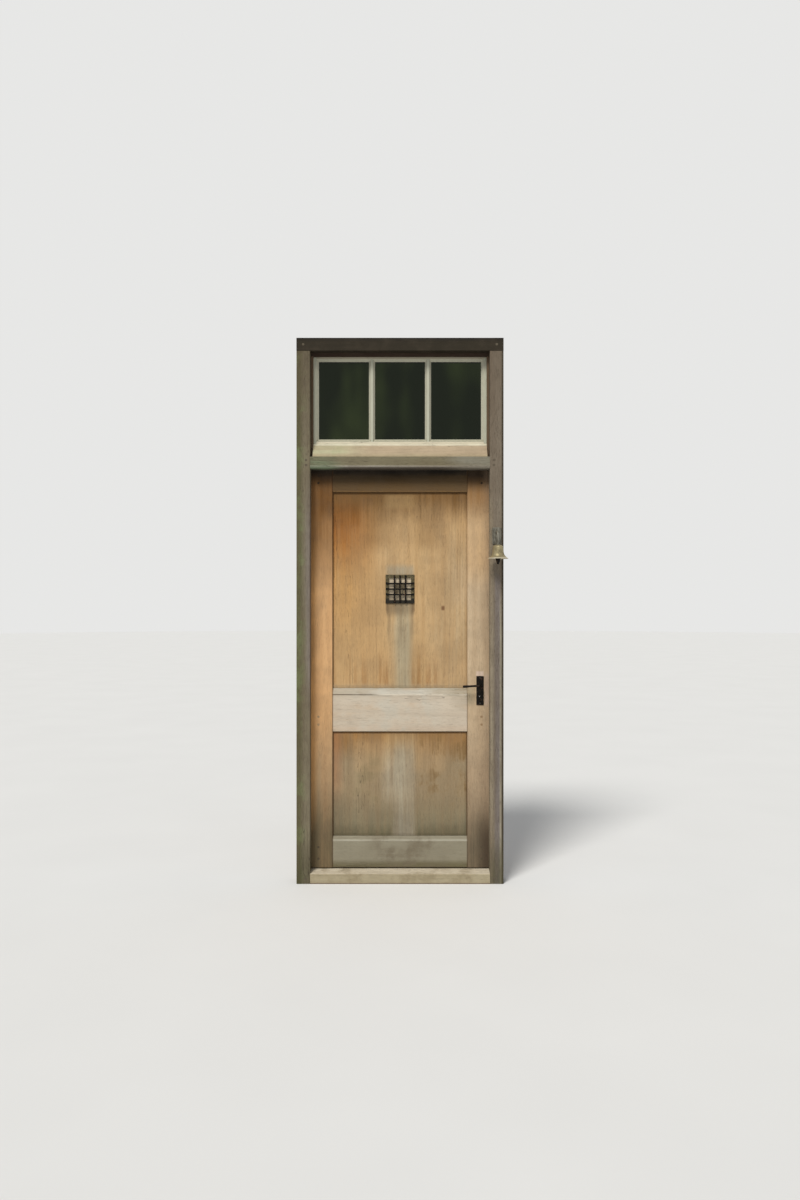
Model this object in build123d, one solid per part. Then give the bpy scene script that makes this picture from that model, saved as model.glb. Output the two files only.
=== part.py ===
from build123d import *
import math
import os

# An oak door leaf in its own frame, with a fixed light over the transom rail.
# Millimetres. X runs from the hinge side to the lock side, +Y points indoors, +Z is up.
# The origin is the middle of the sill's underside, halfway through the frame's depth.

# Door leaf
leaf_width = 914.0
leaf_height = 2018.0
leaf_thickness = 45.0
stile_width = 116.0
top_rail_height = 118.0
lock_rail_height = 220.0
bottom_rail_height = 159.0
lower_panel_height = 529.0
panel_thickness = 20.0
panel_recess = 10.0
groove_depth = 12.0
groove_clearance = 0.2
panel_play = 2.0
field_margin = 14.0
field_drop = 3.0
lock_rail_slope = 33.0
bottom_rail_slope = 25.0
arris = 3.0
leaf_tenon_thickness = 14.0
leaf_tenon_shoulder = 15.0
lock_tenon_height = 80.0

# Frame round the leaf
joint_gap = 3.0
sill_gap = 6.0
rebate_width = 10.0
reveal_depth = 60.0
jamb_width = 68.0
head_height = 66.0
transom_height = 61.0
sill_back_height = 60.0
sill_front_height = 50.0
frame_round = 4.0
frame_tenon_thickness = 30.0
frame_tenon_length = 40.0
frame_tenon_shoulder = 10.0

# Fixed light over the transom rail
light_height = 528.0
stop_side_width = 12.0
stop_top_width = 17.0
stop_thickness = 16.0
sash_thickness = 42.0
sash_member = 47.0
sash_play = 2.0
bar_width = 31.0
bar_tongue = 10.0
glass_thickness = 4.0
glass_setback = 11.0
glass_play = 2.0
putty_feather = 1.0
sash_tenon_thickness = 12.0
sash_tenon_length = 30.0
bar_tenon_length = 12.0
light_sill_nose = 4.0
light_sill_height = 72.0
light_sill_setback = 3.0

# Pegs of the joints
peg_radius = 6.0
peg_clearance = 0.1
frame_peg_length = 55.0
leaf_peg_inset = 72.0

# Fixing holes through the jambs
fixing_radius = 4.25
fixing_sink_radius = 9.0
fixing_sink_depth = 6.0
fixing_low_z = 450.0
fixing_high_z = 1650.0
fixing_spacing = 800.0

# Butt hinges
hinge_height = 102.0
hinge_plate_width = 30.0
hinge_plate_thickness = 2.5
hinge_knuckle_radius = 6.0
hinge_stand_off = 0.5
hinge_knuckles = 5
hinge_knuckle_gap = 0.3
hinge_pin_radius = 2.5
hinge_pin_clearance = 0.05
hinge_pin_head = 3.0
hinge_from_top = 150.0
hinge_from_bottom = 225.0

# Wood screws
screw_head_radius = 4.0
screw_shank_radius = 2.0
screw_length = 25.0
screw_clearance = 0.1

# Mortice lock
spindle_height = 989.0
backset = 52.0
case_depth = 75.0
case_thickness = 16.0
case_above_spindle = 32.0
case_below_spindle = 84.0
case_wall = 1.5
case_clearance = 0.5
forend_width = 22.0
forend_thickness = 3.0
forend_overrun = 20.0
spindle_size = 8.0
follower_radius = 8.0
follower_journal_radius = 7.0
follower_clearance = 0.05
follower_arm = 17.0
follower_arm_width = 6.0
follower_length = 10.0
latch_throw = 12.0
latch_height = 18.0
latch_thickness = 11.0
latch_above_spindle = 18.0
latch_hook = 5.0
dead_bolt_throw = 20.0
dead_bolt_height = 24.0
dead_bolt_thickness = 10.0
dead_bolt_below_spindle = 34.0
bolt_clearance = 0.3
key_below_spindle = 57.0
key_radius = 4.0
key_slot_width = 4.0
key_slot_height = 14.0

# Keep plate in the jamb
keep_width = 25.0
keep_thickness = 1.6
keep_overrun = 20.0
keep_hole_margin = 1.5

# Handle plates and levers
plate_width = 37.0
plate_height = 147.0
plate_above_spindle = 46.0
plate_thickness = 4.0
plate_rib_width = 17.0
plate_rib_height = 2.0
lever_boss_radius = 9.5
lever_boss_length = 9.0
lever_neck_radius = 6.0
lever_projection = 42.0
lever_length = 97.0
lever_bend_radius = 12.0
lever_waist_radius = 5.0
lever_waist_place = 30.0
lever_tip_radius = 6.5
lever_droop_angle = 3.0
lever_clearance = 0.3

# Iron grille and the opening behind it
grille_size = 146.0
grille_border = 17.0
grille_thickness = 6.0
grille_bar_width = 8.0
grille_bar_thickness = 5.0
grille_bars = 3
grille_height = 1475.0
stud_radius = 4.5
stud_shank_radius = 2.0
stud_length = 14.0
peep_size = 58.0

# Hatch on the inner side of the opening
hatch_size = 92.0
hatch_thickness = 10.0
hatch_gap = 1.0
hatch_surround = 22.0
hatch_seat_gap = 0.3
hatch_hinge_height = 44.0
hatch_hinge_width = 14.0
hatch_hinge_thickness = 1.5
hatch_knuckle_radius = 3.0
hatch_pin_radius = 1.2
hatch_knob_radius = 8.0
hatch_knob_height = 16.0

# Visitor's bell on the right jamb
bell_mouth_radius = 50.0
bell_crown_radius = 22.0
bell_height = 68.0
bell_wall = 3.0
bell_lip = 2.5
bell_mouth_z = 1624.0
bell_stand_off = 62.0
bell_plate_width = 46.0
bell_plate_height = 86.0
bell_plate_thickness = 5.0
bell_arm_radius = 6.0
bell_arm_bend = 18.0
bell_bolt_radius = 3.5
bell_bolt_clearance = 0.2
bell_bolt_entry = 12.0
bell_nut_radius = 8.0
clapper_rod_radius = 2.5
clapper_ball_radius = 13.5
clapper_drop = 28.0
clapper_pin_radius = 2.0

# Places that follow from the driving sizes
frame_depth = reveal_depth + leaf_thickness
y_front = -frame_depth / 2
y_back = frame_depth / 2
y_leaf = y_front + reveal_depth
y_mid_leaf = y_leaf + leaf_thickness / 2
y_panel = y_leaf + panel_recess
half_leaf = leaf_width / 2
half_rebate = half_leaf + joint_gap
half_opening = half_rebate - rebate_width
half_frame = half_opening + jamb_width
half_panel = half_leaf - stile_width
leaf_bottom = sill_back_height + sill_gap
leaf_top = leaf_bottom + leaf_height
bottom_rail_top = leaf_bottom + bottom_rail_height
lock_rail_bottom = bottom_rail_top + lower_panel_height
lock_rail_top = lock_rail_bottom + lock_rail_height
top_rail_bottom = leaf_top - top_rail_height
transom_rebate_z = leaf_top + joint_gap
transom_bottom = transom_rebate_z - rebate_width
transom_top = transom_bottom + transom_height
head_bottom = transom_top + light_height
head_top = head_bottom + head_height
frame_tenon_y = (y_front + 15.0, y_front + 15.0 + frame_tenon_thickness)
leaf_tenon_y = (y_mid_leaf - leaf_tenon_thickness / 2, y_mid_leaf + leaf_tenon_thickness / 2)

os.makedirs("parts", exist_ok=True)


def save(shape, node):
    export_step(shape, "parts/" + node + ".step")


def block(x, y, z):
    """A plain block between pairs of limits."""
    centre = ((x[0] + x[1]) / 2, (y[0] + y[1]) / 2, (z[0] + z[1]) / 2)
    return Pos(*centre) * Box(x[1] - x[0], y[1] - y[0], z[1] - z[0])


def outline(points):
    return make_face(Polyline(*points, close=True))


def along_x(points, low, high):
    """Extrudes a (y, z) outline from x = low to x = high."""
    return extrude(Plane.YZ.offset(low) * outline(points), high - low)


def along_y(points, low, high):
    """Extrudes an (x, z) outline from y = low to y = high."""
    plane = Plane((0, low, 0), x_dir=(1, 0, 0), z_dir=(0, -1, 0))
    return extrude(plane * outline(points), -(high - low))


def along_z(points, low, high):
    """Extrudes an (x, y) outline from z = low to z = high."""
    return extrude(Plane.XY.offset(low) * outline(points), high - low)


def rod_x(radius, low, high, y, z):
    return Pos((low + high) / 2, y, z) * Rot(0, 90, 0) * Cylinder(radius, high - low)


def rod_y(radius, low, high, x, z):
    return Pos(x, (low + high) / 2, z) * Rot(90, 0, 0) * Cylinder(radius, high - low)


def rod_z(radius, low, high, x, y):
    return Pos(x, y, (low + high) / 2) * Cylinder(radius, high - low)


def mirrored(shape):
    return mirror(shape, Plane.YZ)


def group(solids):
    return Compound(children=list(solids))


# Wood screws

def screw(start, direction, clearance=0.0):
    """A countersunk screw whose flat head is centred on start and which points along direction."""
    head = screw_head_radius + clearance
    shank = screw_shank_radius + clearance
    sink = screw_head_radius - screw_shank_radius
    half = make_face(Polyline((0, 0), (head, 0), (shank, sink), (shank, screw_length + clearance),
                              (0, screw_length + clearance), close=True))
    turned = revolve(Plane.XZ * half, Axis.Z)
    return Plane(origin=start, z_dir=direction) * turned


# Hinges: places shared by the plates, the leaf and the frame

hinge_x = -(half_leaf + joint_gap / 2)
hinge_y = y_back + hinge_knuckle_radius + hinge_stand_off
hinge_top_z = leaf_top - hinge_from_top - hinge_height / 2
hinge_bottom_z = leaf_bottom + hinge_from_bottom + hinge_height / 2
hinge_levels = {"top": hinge_top_z, "middle": (hinge_top_z + hinge_bottom_z) / 2, "bottom": hinge_bottom_z}
hinge_screw_offsets = (-0.36 * hinge_height, 0.0, 0.36 * hinge_height)
hinge_screw_y = y_back - hinge_plate_width * 0.55


def hinge_gain(side, middle):
    """The shallow recess for a plate, in the jamb (side -1) or in the leaf's edge (side 1)."""
    if side < 0:
        x = (-half_rebate - hinge_plate_thickness, -half_rebate)
    else:
        x = (-half_leaf, -half_leaf + hinge_plate_thickness)
    return block(x, (y_back - hinge_plate_width, y_back), (middle - hinge_height / 2, middle + hinge_height / 2))


def hinge_screw_places(side):
    """Head centres of a side's hinge screws."""
    x = -half_rebate if side < 0 else -half_leaf
    return [(x, hinge_screw_y, z + dz) for z in hinge_levels.values() for dz in hinge_screw_offsets]


def hinge_plate(side, middle):
    """One plate with its knuckles. The jamb's plate has the odd knuckles, the leaf's plate the even ones."""
    plate = hinge_gain(side, middle)
    pitch = hinge_height / hinge_knuckles
    first = 0 if side < 0 else 1
    low_x = -half_rebate - hinge_plate_thickness if side < 0 else -half_leaf
    bore = rod_z(hinge_pin_radius + hinge_pin_clearance, middle - hinge_height, middle + hinge_height,
                 hinge_x, hinge_y)
    for k in range(first, hinge_knuckles, 2):
        low = middle - hinge_height / 2 + k * pitch
        high = low + pitch
        if k > 0:
            low += hinge_knuckle_gap / 2
        if k < hinge_knuckles - 1:
            high -= hinge_knuckle_gap / 2
        web = block((low_x, low_x + hinge_plate_thickness), (y_back - 1.0, hinge_y), (low, high))
        plate += web + rod_z(hinge_knuckle_radius, low, high, hinge_x, hinge_y)
    plate -= bore
    direction = (-1, 0, 0) if side < 0 else (1, 0, 0)
    for dz in hinge_screw_offsets:
        x = -half_rebate if side < 0 else -half_leaf
        plate -= screw((x, hinge_screw_y, middle + dz), direction, screw_clearance)
    return plate


def hinge_pin(middle):
    """A pin with a domed button at each end."""
    low = middle - hinge_height / 2
    high = middle + hinge_height / 2
    button = hinge_knuckle_radius - 1.0
    half = make_face(
        Polyline((0, low - hinge_pin_head), (button - 2.0, low - hinge_pin_head), (button, low - 1.0),
                 (button, low), (hinge_pin_radius, low), (hinge_pin_radius, high), (button, high),
                 (button, high + 1.0), (button - 2.0, high + hinge_pin_head), (0, high + hinge_pin_head),
                 close=True))
    return Pos(hinge_x, hinge_y, 0) * revolve(Plane.XZ * half, Axis.Z)


# Lock: places shared by the case, the bolts, the keep and the handles

lock_x = half_leaf - backset
latch_z = spindle_height + latch_above_spindle
dead_bolt_z = spindle_height - dead_bolt_below_spindle
key_z = spindle_height - key_below_spindle
case_x = (half_leaf - forend_thickness - case_depth, half_leaf - forend_thickness)
case_y = (y_mid_leaf - case_thickness / 2, y_mid_leaf + case_thickness / 2)
case_z = (spindle_height - case_below_spindle, spindle_height + case_above_spindle)
forend_z = (case_z[0] - forend_overrun, case_z[1] + forend_overrun)
keep_z = (dead_bolt_z - dead_bolt_height / 2 - keep_overrun, latch_z + latch_height / 2 + keep_overrun)


def bolt_hole(middle, height, thickness, x, margin):
    """The room that a bolt of this section needs between two places along X."""
    half_y = thickness / 2 + margin
    half_z = height / 2 + margin
    return block(x, (y_mid_leaf - half_y, y_mid_leaf + half_y), (middle - half_z, middle + half_z))


def keyhole(low, high):
    """Round top and narrow slot below, cut along Y."""
    round_top = rod_y(key_radius, low, high, lock_x, key_z)
    slot = block((lock_x - key_slot_width / 2, lock_x + key_slot_width / 2), (low, high),
                 (key_z - key_slot_height, key_z))
    return round_top + slot


def forend_screw_places():
    inset = forend_overrun / 2
    return [(half_leaf, y_mid_leaf, forend_z[0] + inset), (half_leaf, y_mid_leaf, forend_z[1] - inset)]


def keep_screw_places():
    inset = keep_overrun / 2
    return [(half_rebate, y_mid_leaf, keep_z[0] + inset), (half_rebate, y_mid_leaf, keep_z[1] - inset)]


def lock_case():
    """Hollow case with its forend, open for both bolts, the follower and the key."""
    shell = block(case_x, case_y, case_z)
    inner_x = (case_x[0] + case_wall, case_x[1])
    inner_y = (case_y[0] + case_wall, case_y[1] - case_wall)
    inner_z = (case_z[0] + case_wall, case_z[1] - case_wall)
    shell -= block(inner_x, inner_y, inner_z)
    half_forend = forend_width / 2
    shell += block((case_x[1], half_leaf), (y_mid_leaf - half_forend, y_mid_leaf + half_forend), forend_z)
    past = (case_x[1] - 1.0, half_leaf + 1.0)
    shell -= bolt_hole(latch_z, latch_height, latch_thickness, past, bolt_clearance)
    shell -= bolt_hole(dead_bolt_z, dead_bolt_height, dead_bolt_thickness, past, bolt_clearance)
    shell -= rod_y(follower_journal_radius + follower_clearance, case_y[0] - 1, case_y[1] + 1, lock_x,
                   spindle_height)
    shell -= keyhole(case_y[0] - 1, case_y[1] + 1)
    for place in forend_screw_places():
        shell -= screw(place, (-1, 0, 0), screw_clearance)
    return shell


def latch_bolt():
    """Bevelled nose on the outer side, and a hook behind the follower's arm."""
    nose = half_leaf + latch_throw
    left = lock_x - follower_arm_width / 2 - bolt_clearance
    low_y = y_mid_leaf - latch_thickness / 2
    high_y = y_mid_leaf + latch_thickness / 2
    bevel = latch_throw - joint_gap / 2
    bolt = along_z([(left - latch_hook, low_y), (nose - bevel, low_y), (nose, high_y - 3.0), (nose, high_y),
                    (left - latch_hook, high_y)],
                   latch_z - latch_height / 2, latch_z + latch_height / 2)
    window_top = spindle_height + follower_arm + 2.0
    right = lock_x + follower_arm_width / 2 + latch_throw
    window = block((left, right), (low_y - 1, high_y + 1), (latch_z - latch_height / 2 - 1, window_top))
    return bolt - window


def dead_bolt():
    """A plain square bolt with a talon cut in its underside for the key."""
    bolt = bolt_hole(dead_bolt_z, dead_bolt_height, dead_bolt_thickness,
                     (lock_x - 6.0, half_leaf), 0.0)
    talon = block((lock_x + 2.0, lock_x + 14.0), (y_mid_leaf - case_thickness, y_mid_leaf + case_thickness),
                  (dead_bolt_z - dead_bolt_height / 2 - 1, dead_bolt_z - dead_bolt_height / 2 + 5.0))
    bolt -= talon
    ends = bolt.faces().sort_by(Axis.X)[-1].edges()
    return chamfer(ends, 0.8)


def lock_follower():
    """Hub that turns on two journals in the case, with a square hole and an arm that draws the latch back."""
    hub = rod_y(follower_radius, y_mid_leaf - follower_length / 2, y_mid_leaf + follower_length / 2,
                lock_x, spindle_height)
    hub += rod_y(follower_journal_radius, case_y[0], case_y[1], lock_x, spindle_height)
    arm = block((lock_x - follower_arm_width / 2, lock_x + follower_arm_width / 2),
                (y_mid_leaf - follower_length / 2, y_mid_leaf + follower_length / 2),
                (spindle_height, spindle_height + follower_arm))
    half = spindle_size / 2
    square = block((lock_x - half, lock_x + half), (case_y[0], case_y[1]),
                   (spindle_height - half, spindle_height + half))
    return hub + arm - square


def lock_mortice():
    """Room for the case and its forend in the lock stile, with the holes for spindle and key."""
    c = case_clearance
    room = block((case_x[0] - c, half_leaf), (case_y[0] - c, case_y[1] + c), (case_z[0] - c, case_z[1] + c))
    half_forend = forend_width / 2
    room += block((case_x[1], half_leaf), (y_mid_leaf - half_forend, y_mid_leaf + half_forend), forend_z)
    room += rod_y(follower_radius + 2.0, y_leaf, y_back, lock_x, spindle_height)
    room += keyhole(y_leaf, y_back)
    return room


def keep_plate():
    """Flat plate let into the jamb, with a hole for each bolt."""
    half = keep_width / 2
    plate = block((half_rebate, half_rebate + keep_thickness), (y_mid_leaf - half, y_mid_leaf + half), keep_z)
    corners = plate.edges().filter_by(Axis.X)
    plate = fillet(corners, 4.0)
    past = (half_rebate - 1, half_rebate + keep_thickness + 1)
    plate -= bolt_hole(latch_z, latch_height, latch_thickness, past, keep_hole_margin)
    plate -= bolt_hole(dead_bolt_z, dead_bolt_height, dead_bolt_thickness, past, keep_hole_margin)
    for place in keep_screw_places():
        plate -= screw(place, (1, 0, 0), screw_clearance)
    return plate


def keep_pocket():
    """The plate's recess in the jamb and the pockets behind its two holes."""
    half = keep_width / 2
    recess = block((half_rebate, half_rebate + keep_thickness), (y_mid_leaf - half, y_mid_leaf + half), keep_z)
    recess = fillet(recess.edges().filter_by(Axis.X), 4.0)
    depth = 4.0
    recess += bolt_hole(latch_z, latch_height, latch_thickness,
                        (half_rebate, half_leaf + latch_throw + depth), keep_hole_margin)
    recess += bolt_hole(dead_bolt_z, dead_bolt_height, dead_bolt_thickness,
                        (half_rebate, half_leaf + dead_bolt_throw + depth), keep_hole_margin)
    for place in keep_screw_places():
        recess += screw(place, (1, 0, 0), screw_clearance)
    return recess


# Frame members

def tenon(side, z, low=None, high=None):
    """A stub tenon that enters the jamb on one side, between two heights."""
    start = half_opening if low is None else low
    end = half_opening + frame_tenon_length if high is None else high
    x = (start, end) if side > 0 else (-end, -start)
    return block(x, frame_tenon_y, z)


transom_tenon_z = (transom_bottom + frame_tenon_shoulder, transom_top - frame_tenon_shoulder)
sill_tenon_z = (frame_tenon_shoulder, sill_front_height - frame_tenon_shoulder)
head_tenon_x = (half_opening + frame_tenon_shoulder, half_frame - frame_tenon_shoulder)
fixing_levels = (fixing_low_z, fixing_low_z + fixing_spacing, fixing_high_z, fixing_high_z + fixing_spacing)
fixing_y = (y_leaf + y_back) / 2


def frame_peg_places():
    """Middle of each peg in the frame's joints, as (x, z)."""
    x_stub = half_opening + frame_tenon_length / 2
    transom_middle = (transom_bottom + transom_top) / 2
    spread = transom_height / 5
    right = [(head_tenon_x[0] + (head_tenon_x[1] - head_tenon_x[0]) / 2, head_bottom + head_height / 2),
             (x_stub, transom_middle - spread), (x_stub, transom_middle + spread),
             (x_stub, (sill_tenon_z[0] + sill_tenon_z[1]) / 2)]
    return right + [(-x, z) for x, z in right]


def frame_peg_holes(side):
    holes = [rod_y(peg_radius + peg_clearance, y_front, y_front + frame_peg_length, x, z)
             for x, z in frame_peg_places() if x * side > 0]
    return holes


def jamb(side):
    """Rebated post with a tenon for the head and mortices for the transom rail and the sill."""
    section = outline([(half_opening, y_front), (half_frame, y_front), (half_frame, y_back),
                       (half_rebate, y_back), (half_rebate, y_leaf), (half_opening, y_leaf)])
    front_corners = section.vertices().group_by(Axis.Y)[0]
    section = fillet(front_corners, frame_round)
    post = extrude(section, head_bottom)
    post += block(head_tenon_x, frame_tenon_y, (head_bottom, head_top))
    post -= tenon(1, transom_tenon_z)
    post -= tenon(1, sill_tenon_z)
    for z in fixing_levels:
        post -= rod_x(fixing_radius, half_rebate - 1, half_frame + 1, fixing_y, z)
        post -= rod_x(fixing_sink_radius, half_rebate - 1, half_rebate + fixing_sink_depth, fixing_y, z)
    if side < 0:
        post = mirrored(post)
    for hole in frame_peg_holes(side):
        post -= hole
    return post


def left_jamb():
    post = jamb(-1)
    for middle in hinge_levels.values():
        post -= hinge_gain(-1, middle)
    for place in hinge_screw_places(-1):
        post -= screw(place, (-1, 0, 0), screw_clearance)
    return post


def right_jamb():
    post = jamb(1) - keep_pocket()
    for place in bell_screw_places():
        post -= screw(place, (0, 1, 0), screw_clearance)
    return post


def frame_head():
    """Head over both jambs, rebated between them for the light's sash."""
    section = outline([(y_front, head_bottom), (y_back, head_bottom), (y_back, head_top), (y_front, head_top)])
    section = fillet(section.vertices().group_by(Axis.X)[0], frame_round)
    head = extrude(Plane.YZ.offset(-half_frame) * section, 2 * half_frame)
    head -= block((-half_rebate, half_rebate), (y_leaf, y_back), (head_bottom, head_bottom + rebate_width))
    for side in (-1, 1):
        x = head_tenon_x if side > 0 else (-head_tenon_x[1], -head_tenon_x[0])
        head -= block(x, frame_tenon_y, (head_bottom, head_top))
        for hole in frame_peg_holes(side):
            head -= hole
    return head


def cross_member(front_points, back_points, tenon_z):
    """A member between the jambs: narrow in front, wider behind where the jambs are rebated."""
    member = along_x(front_points, -half_opening, half_opening)
    member += along_x(back_points, -half_rebate, half_rebate)
    for side in (-1, 1):
        member += tenon(side, tenon_z)
        for hole in frame_peg_holes(side):
            member -= hole
    return member


def transom_rail():
    """Rail between the leaf and the light, with a drip bead along its lower front edge."""
    bead = 17.0
    relief = 3.0
    front = [(y_front, transom_bottom + frame_round / 2), (y_front + frame_round / 2, transom_bottom),
             (y_leaf, transom_bottom), (y_leaf, transom_top), (y_front + relief + 2.0, transom_top),
             (y_front + relief, transom_top - 2.0), (y_front + relief, transom_bottom + bead + relief),
             (y_front, transom_bottom + bead)]
    back = [(y_leaf, transom_rebate_z), (y_back, transom_rebate_z), (y_back, transom_top), (y_leaf, transom_top)]
    return cross_member(front, back, transom_tenon_z)


def door_sill():
    """Weathered sill that falls towards the front and is level under the leaf."""
    front = [(y_front, 0), (y_leaf, 0), (y_leaf, sill_back_height), (y_front + frame_round, sill_front_height),
             (y_front, sill_front_height - frame_round)]
    back = [(y_leaf, 0), (y_back, 0), (y_back, sill_back_height), (y_leaf, sill_back_height)]
    return cross_member(front, back, sill_tenon_z)


def frame_pegs():
    return group(rod_y(peg_radius, y_front, y_front + frame_peg_length - peg_clearance, x, z)
                 for x, z in frame_peg_places())


# Light over the transom rail

y_sash = (y_leaf, y_leaf + sash_thickness)
y_glass = (y_sash[0] + glass_setback, y_sash[0] + glass_setback + glass_thickness)
half_sash = half_rebate - sash_play
sash_bottom = transom_top
sash_top = head_bottom + rebate_width - sash_play
half_sight = half_sash - sash_member
glass_rebate = sash_member - (half_sash - half_opening) - stop_side_width - 14.0
sight_bottom = sash_bottom + light_sill_height + 24.0
sight_top = sash_top - sash_member
sight_width = (2 * half_sight - 2 * bar_width) / 3
bar_x = (sight_width / 2 + bar_width / 2)
sash_tenon_y = (y_glass[1] + 4.0, y_glass[1] + 4.0 + sash_tenon_thickness)


def light_stop(side):
    """Square strip planted on the jamb in front of the sash, from the transom rail to the top stop."""
    inner = half_opening - stop_side_width
    x = (inner, half_opening) if side > 0 else (-half_opening, -inner)
    strip = block(x, (y_leaf - stop_thickness, y_leaf), (transom_top, head_bottom - stop_top_width))
    return chamfer(strip.edges().filter_by(Axis.Z).group_by(Axis.Y)[0], 1.5)


def light_stop_top():
    strip = block((-half_opening, half_opening), (y_leaf - stop_thickness, y_leaf),
                  (head_bottom - stop_top_width, head_bottom))
    return chamfer(strip.edges().filter_by(Axis.X).group_by(Axis.Y)[0].group_by(Axis.Z)[0], 1.5)


def light_sill():
    """Sloping board that sheds rain from the foot of the sash over the transom rail."""
    half = half_opening - stop_side_width
    foot = y_front + light_sill_setback + 3.0
    points = [(foot, transom_top), (y_leaf, transom_top), (y_leaf, transom_top + light_sill_height),
              (y_leaf - 6.0, transom_top + light_sill_height), (foot, transom_top + light_sill_nose)]
    return along_x(points, -half, half)


def sash_stile(side):
    """Upright of the sash, rebated in front for glass and putty and chamfered behind."""
    edge = 6.0
    section = [(half_sight + glass_rebate, y_sash[0]), (half_sash, y_sash[0]), (half_sash, y_sash[1]),
               (half_sight + edge, y_sash[1]), (half_sight, y_sash[1] - edge), (half_sight, y_glass[1]),
               (half_sight + glass_rebate, y_glass[1])]
    stile = along_z(section, sash_bottom, sash_top)
    stile -= sash_rail_tenon(1, top_tenon_z) + sash_rail_tenon(1, bottom_tenon_z)
    return stile if side > 0 else mirrored(stile)


top_tenon_z = (sight_top + 8.0, sash_top - 8.0)
bottom_tenon_z = (sash_bottom + 20.0, sight_bottom - 24.0)


def sash_rail_tenon(side, z):
    x = (half_sight, half_sight + sash_tenon_length)
    return block(x if side > 0 else (-x[1], -x[0]), sash_tenon_y, z)


def bar_tenon(x, z):
    half = bar_tongue / 2
    return block((x - half, x + half), sash_tenon_y, z)


def sash_rail(sight, edge_z, direction, tenon_z):
    """Rail whose sight edge is at one height. direction is +1 where the rail lies above the glass."""
    edge = 6.0
    wall = sight + direction * glass_rebate
    back = [(y_glass[1], sight), (y_sash[1] - edge, sight), (y_sash[1], sight + direction * edge),
            (y_sash[1], edge_z), (y_glass[1], edge_z)]
    front = [(y_sash[0], wall), (y_glass[1], wall), (y_glass[1], edge_z), (y_sash[0], edge_z)]
    rail = along_x(back, -half_sight, half_sight)
    rail += along_x(front, -half_sight - glass_rebate, half_sight + glass_rebate)
    rail += sash_rail_tenon(1, tenon_z) + sash_rail_tenon(-1, tenon_z)
    inner = (sight, sight + direction * bar_tenon_length)
    for x in (-bar_x, bar_x):
        rail -= bar_tenon(x, (min(inner), max(inner)))
    return rail


def glazing_bar(side):
    """Bar between two panes: a tongue between the rebates and a chamfered body behind."""
    x = side * bar_x
    half = bar_width / 2
    tongue = bar_tongue / 2
    edge = 10.0
    body = along_z([(x - half, y_glass[1]), (x + half, y_glass[1]), (x + half, y_sash[1] - edge),
                    (x + half - edge, y_sash[1]), (x - half + edge, y_sash[1]), (x - half, y_sash[1] - edge)],
                   sight_bottom, sight_top)
    body += block((x - tongue, x + tongue), (y_sash[0], y_glass[1]),
                  (sight_bottom - glass_rebate, sight_top + glass_rebate))
    body += bar_tenon(x, (sight_bottom - bar_tenon_length, sight_bottom))
    body += bar_tenon(x, (sight_top, sight_top + bar_tenon_length))
    return body


def pane_rebate(index):
    """The room for one pane and its putty, as pairs of limits in X and Z."""
    left = -half_sight + index * (sight_width + bar_width)
    right = left + sight_width
    low = left - (glass_rebate if index == 0 else (bar_width - bar_tongue) / 2)
    high = right + (glass_rebate if index == 2 else (bar_width - bar_tongue) / 2)
    return (low, high), (sight_bottom - glass_rebate, sight_top + glass_rebate), (left, right)


def pane(index):
    x, z, sight = pane_rebate(index)
    sheet = block((x[0] + glass_play, x[1] - glass_play), y_glass, (z[0] + glass_play, z[1] - glass_play))
    return sheet


def putty(index):
    """Sloping putty fillet all round a pane, from the rebate's front arris to the sight line."""
    x, z, sight = pane_rebate(index)
    front = y_sash[0] + 0.5
    feather = putty_feather
    solid = block(x, (front, y_glass[0]), z)
    wide = Plane((0, front, 0), x_dir=(1, 0, 0), z_dir=(0, -1, 0)) * Pos((x[0] + x[1]) / 2, (z[0] + z[1]) / 2) \
        * Rectangle(x[1] - x[0] - 2 * feather, z[1] - z[0] - 2 * feather)
    narrow = Plane((0, y_glass[0], 0), x_dir=(1, 0, 0), z_dir=(0, -1, 0)) \
        * Pos((sight[0] + sight[1]) / 2, (sight_bottom + sight_top) / 2) \
        * Rectangle(sight[1] - sight[0], sight_top - sight_bottom)
    return solid - loft([wide, narrow])


# Door leaf

def panel_room(low, high):
    """The groove that a panel needs in the stiles and rails, as one flat block."""
    return block((-half_panel - groove_depth, half_panel + groove_depth),
                 (y_panel - groove_clearance, y_panel + panel_thickness + groove_clearance),
                 (low - groove_depth, high + groove_depth))


upper_panel_z = (lock_rail_top, top_rail_bottom)
lower_panel_z = (bottom_rail_top, lock_rail_bottom)
top_leaf_tenon_z = (top_rail_bottom + leaf_tenon_shoulder + groove_depth, leaf_top - leaf_tenon_shoulder)
lock_leaf_tenon_z = (lock_rail_bottom + leaf_tenon_shoulder, lock_rail_bottom + leaf_tenon_shoulder
                     + lock_tenon_height)
bottom_leaf_tenon_z = (leaf_bottom + leaf_tenon_shoulder, bottom_rail_top - leaf_tenon_shoulder - groove_depth)
leaf_tenons = (top_leaf_tenon_z, lock_leaf_tenon_z, bottom_leaf_tenon_z)


def leaf_tenon(side, z):
    """A through tenon, which shows on the leaf's edge."""
    x = (half_panel, half_leaf)
    return block(x if side > 0 else (-x[1], -x[0]), leaf_tenon_y, z)


def leaf_peg_places():
    """Middle of each peg in the leaf's joints, as (x, z): two to a tenon."""
    x = half_panel + leaf_peg_inset
    places = []
    for low, high in leaf_tenons:
        quarter = (high - low) / 4
        places += [(x, low + quarter), (x, high - quarter), (-x, low + quarter), (-x, high - quarter)]
    return places


def leaf_peg_holes(side):
    return [rod_y(peg_radius + peg_clearance, y_leaf, y_back, x, z)
            for x, z in leaf_peg_places() if x * side > 0]


def leaf_pegs():
    return group(rod_y(peg_radius, y_leaf, y_back, x, z) for x, z in leaf_peg_places())


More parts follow.
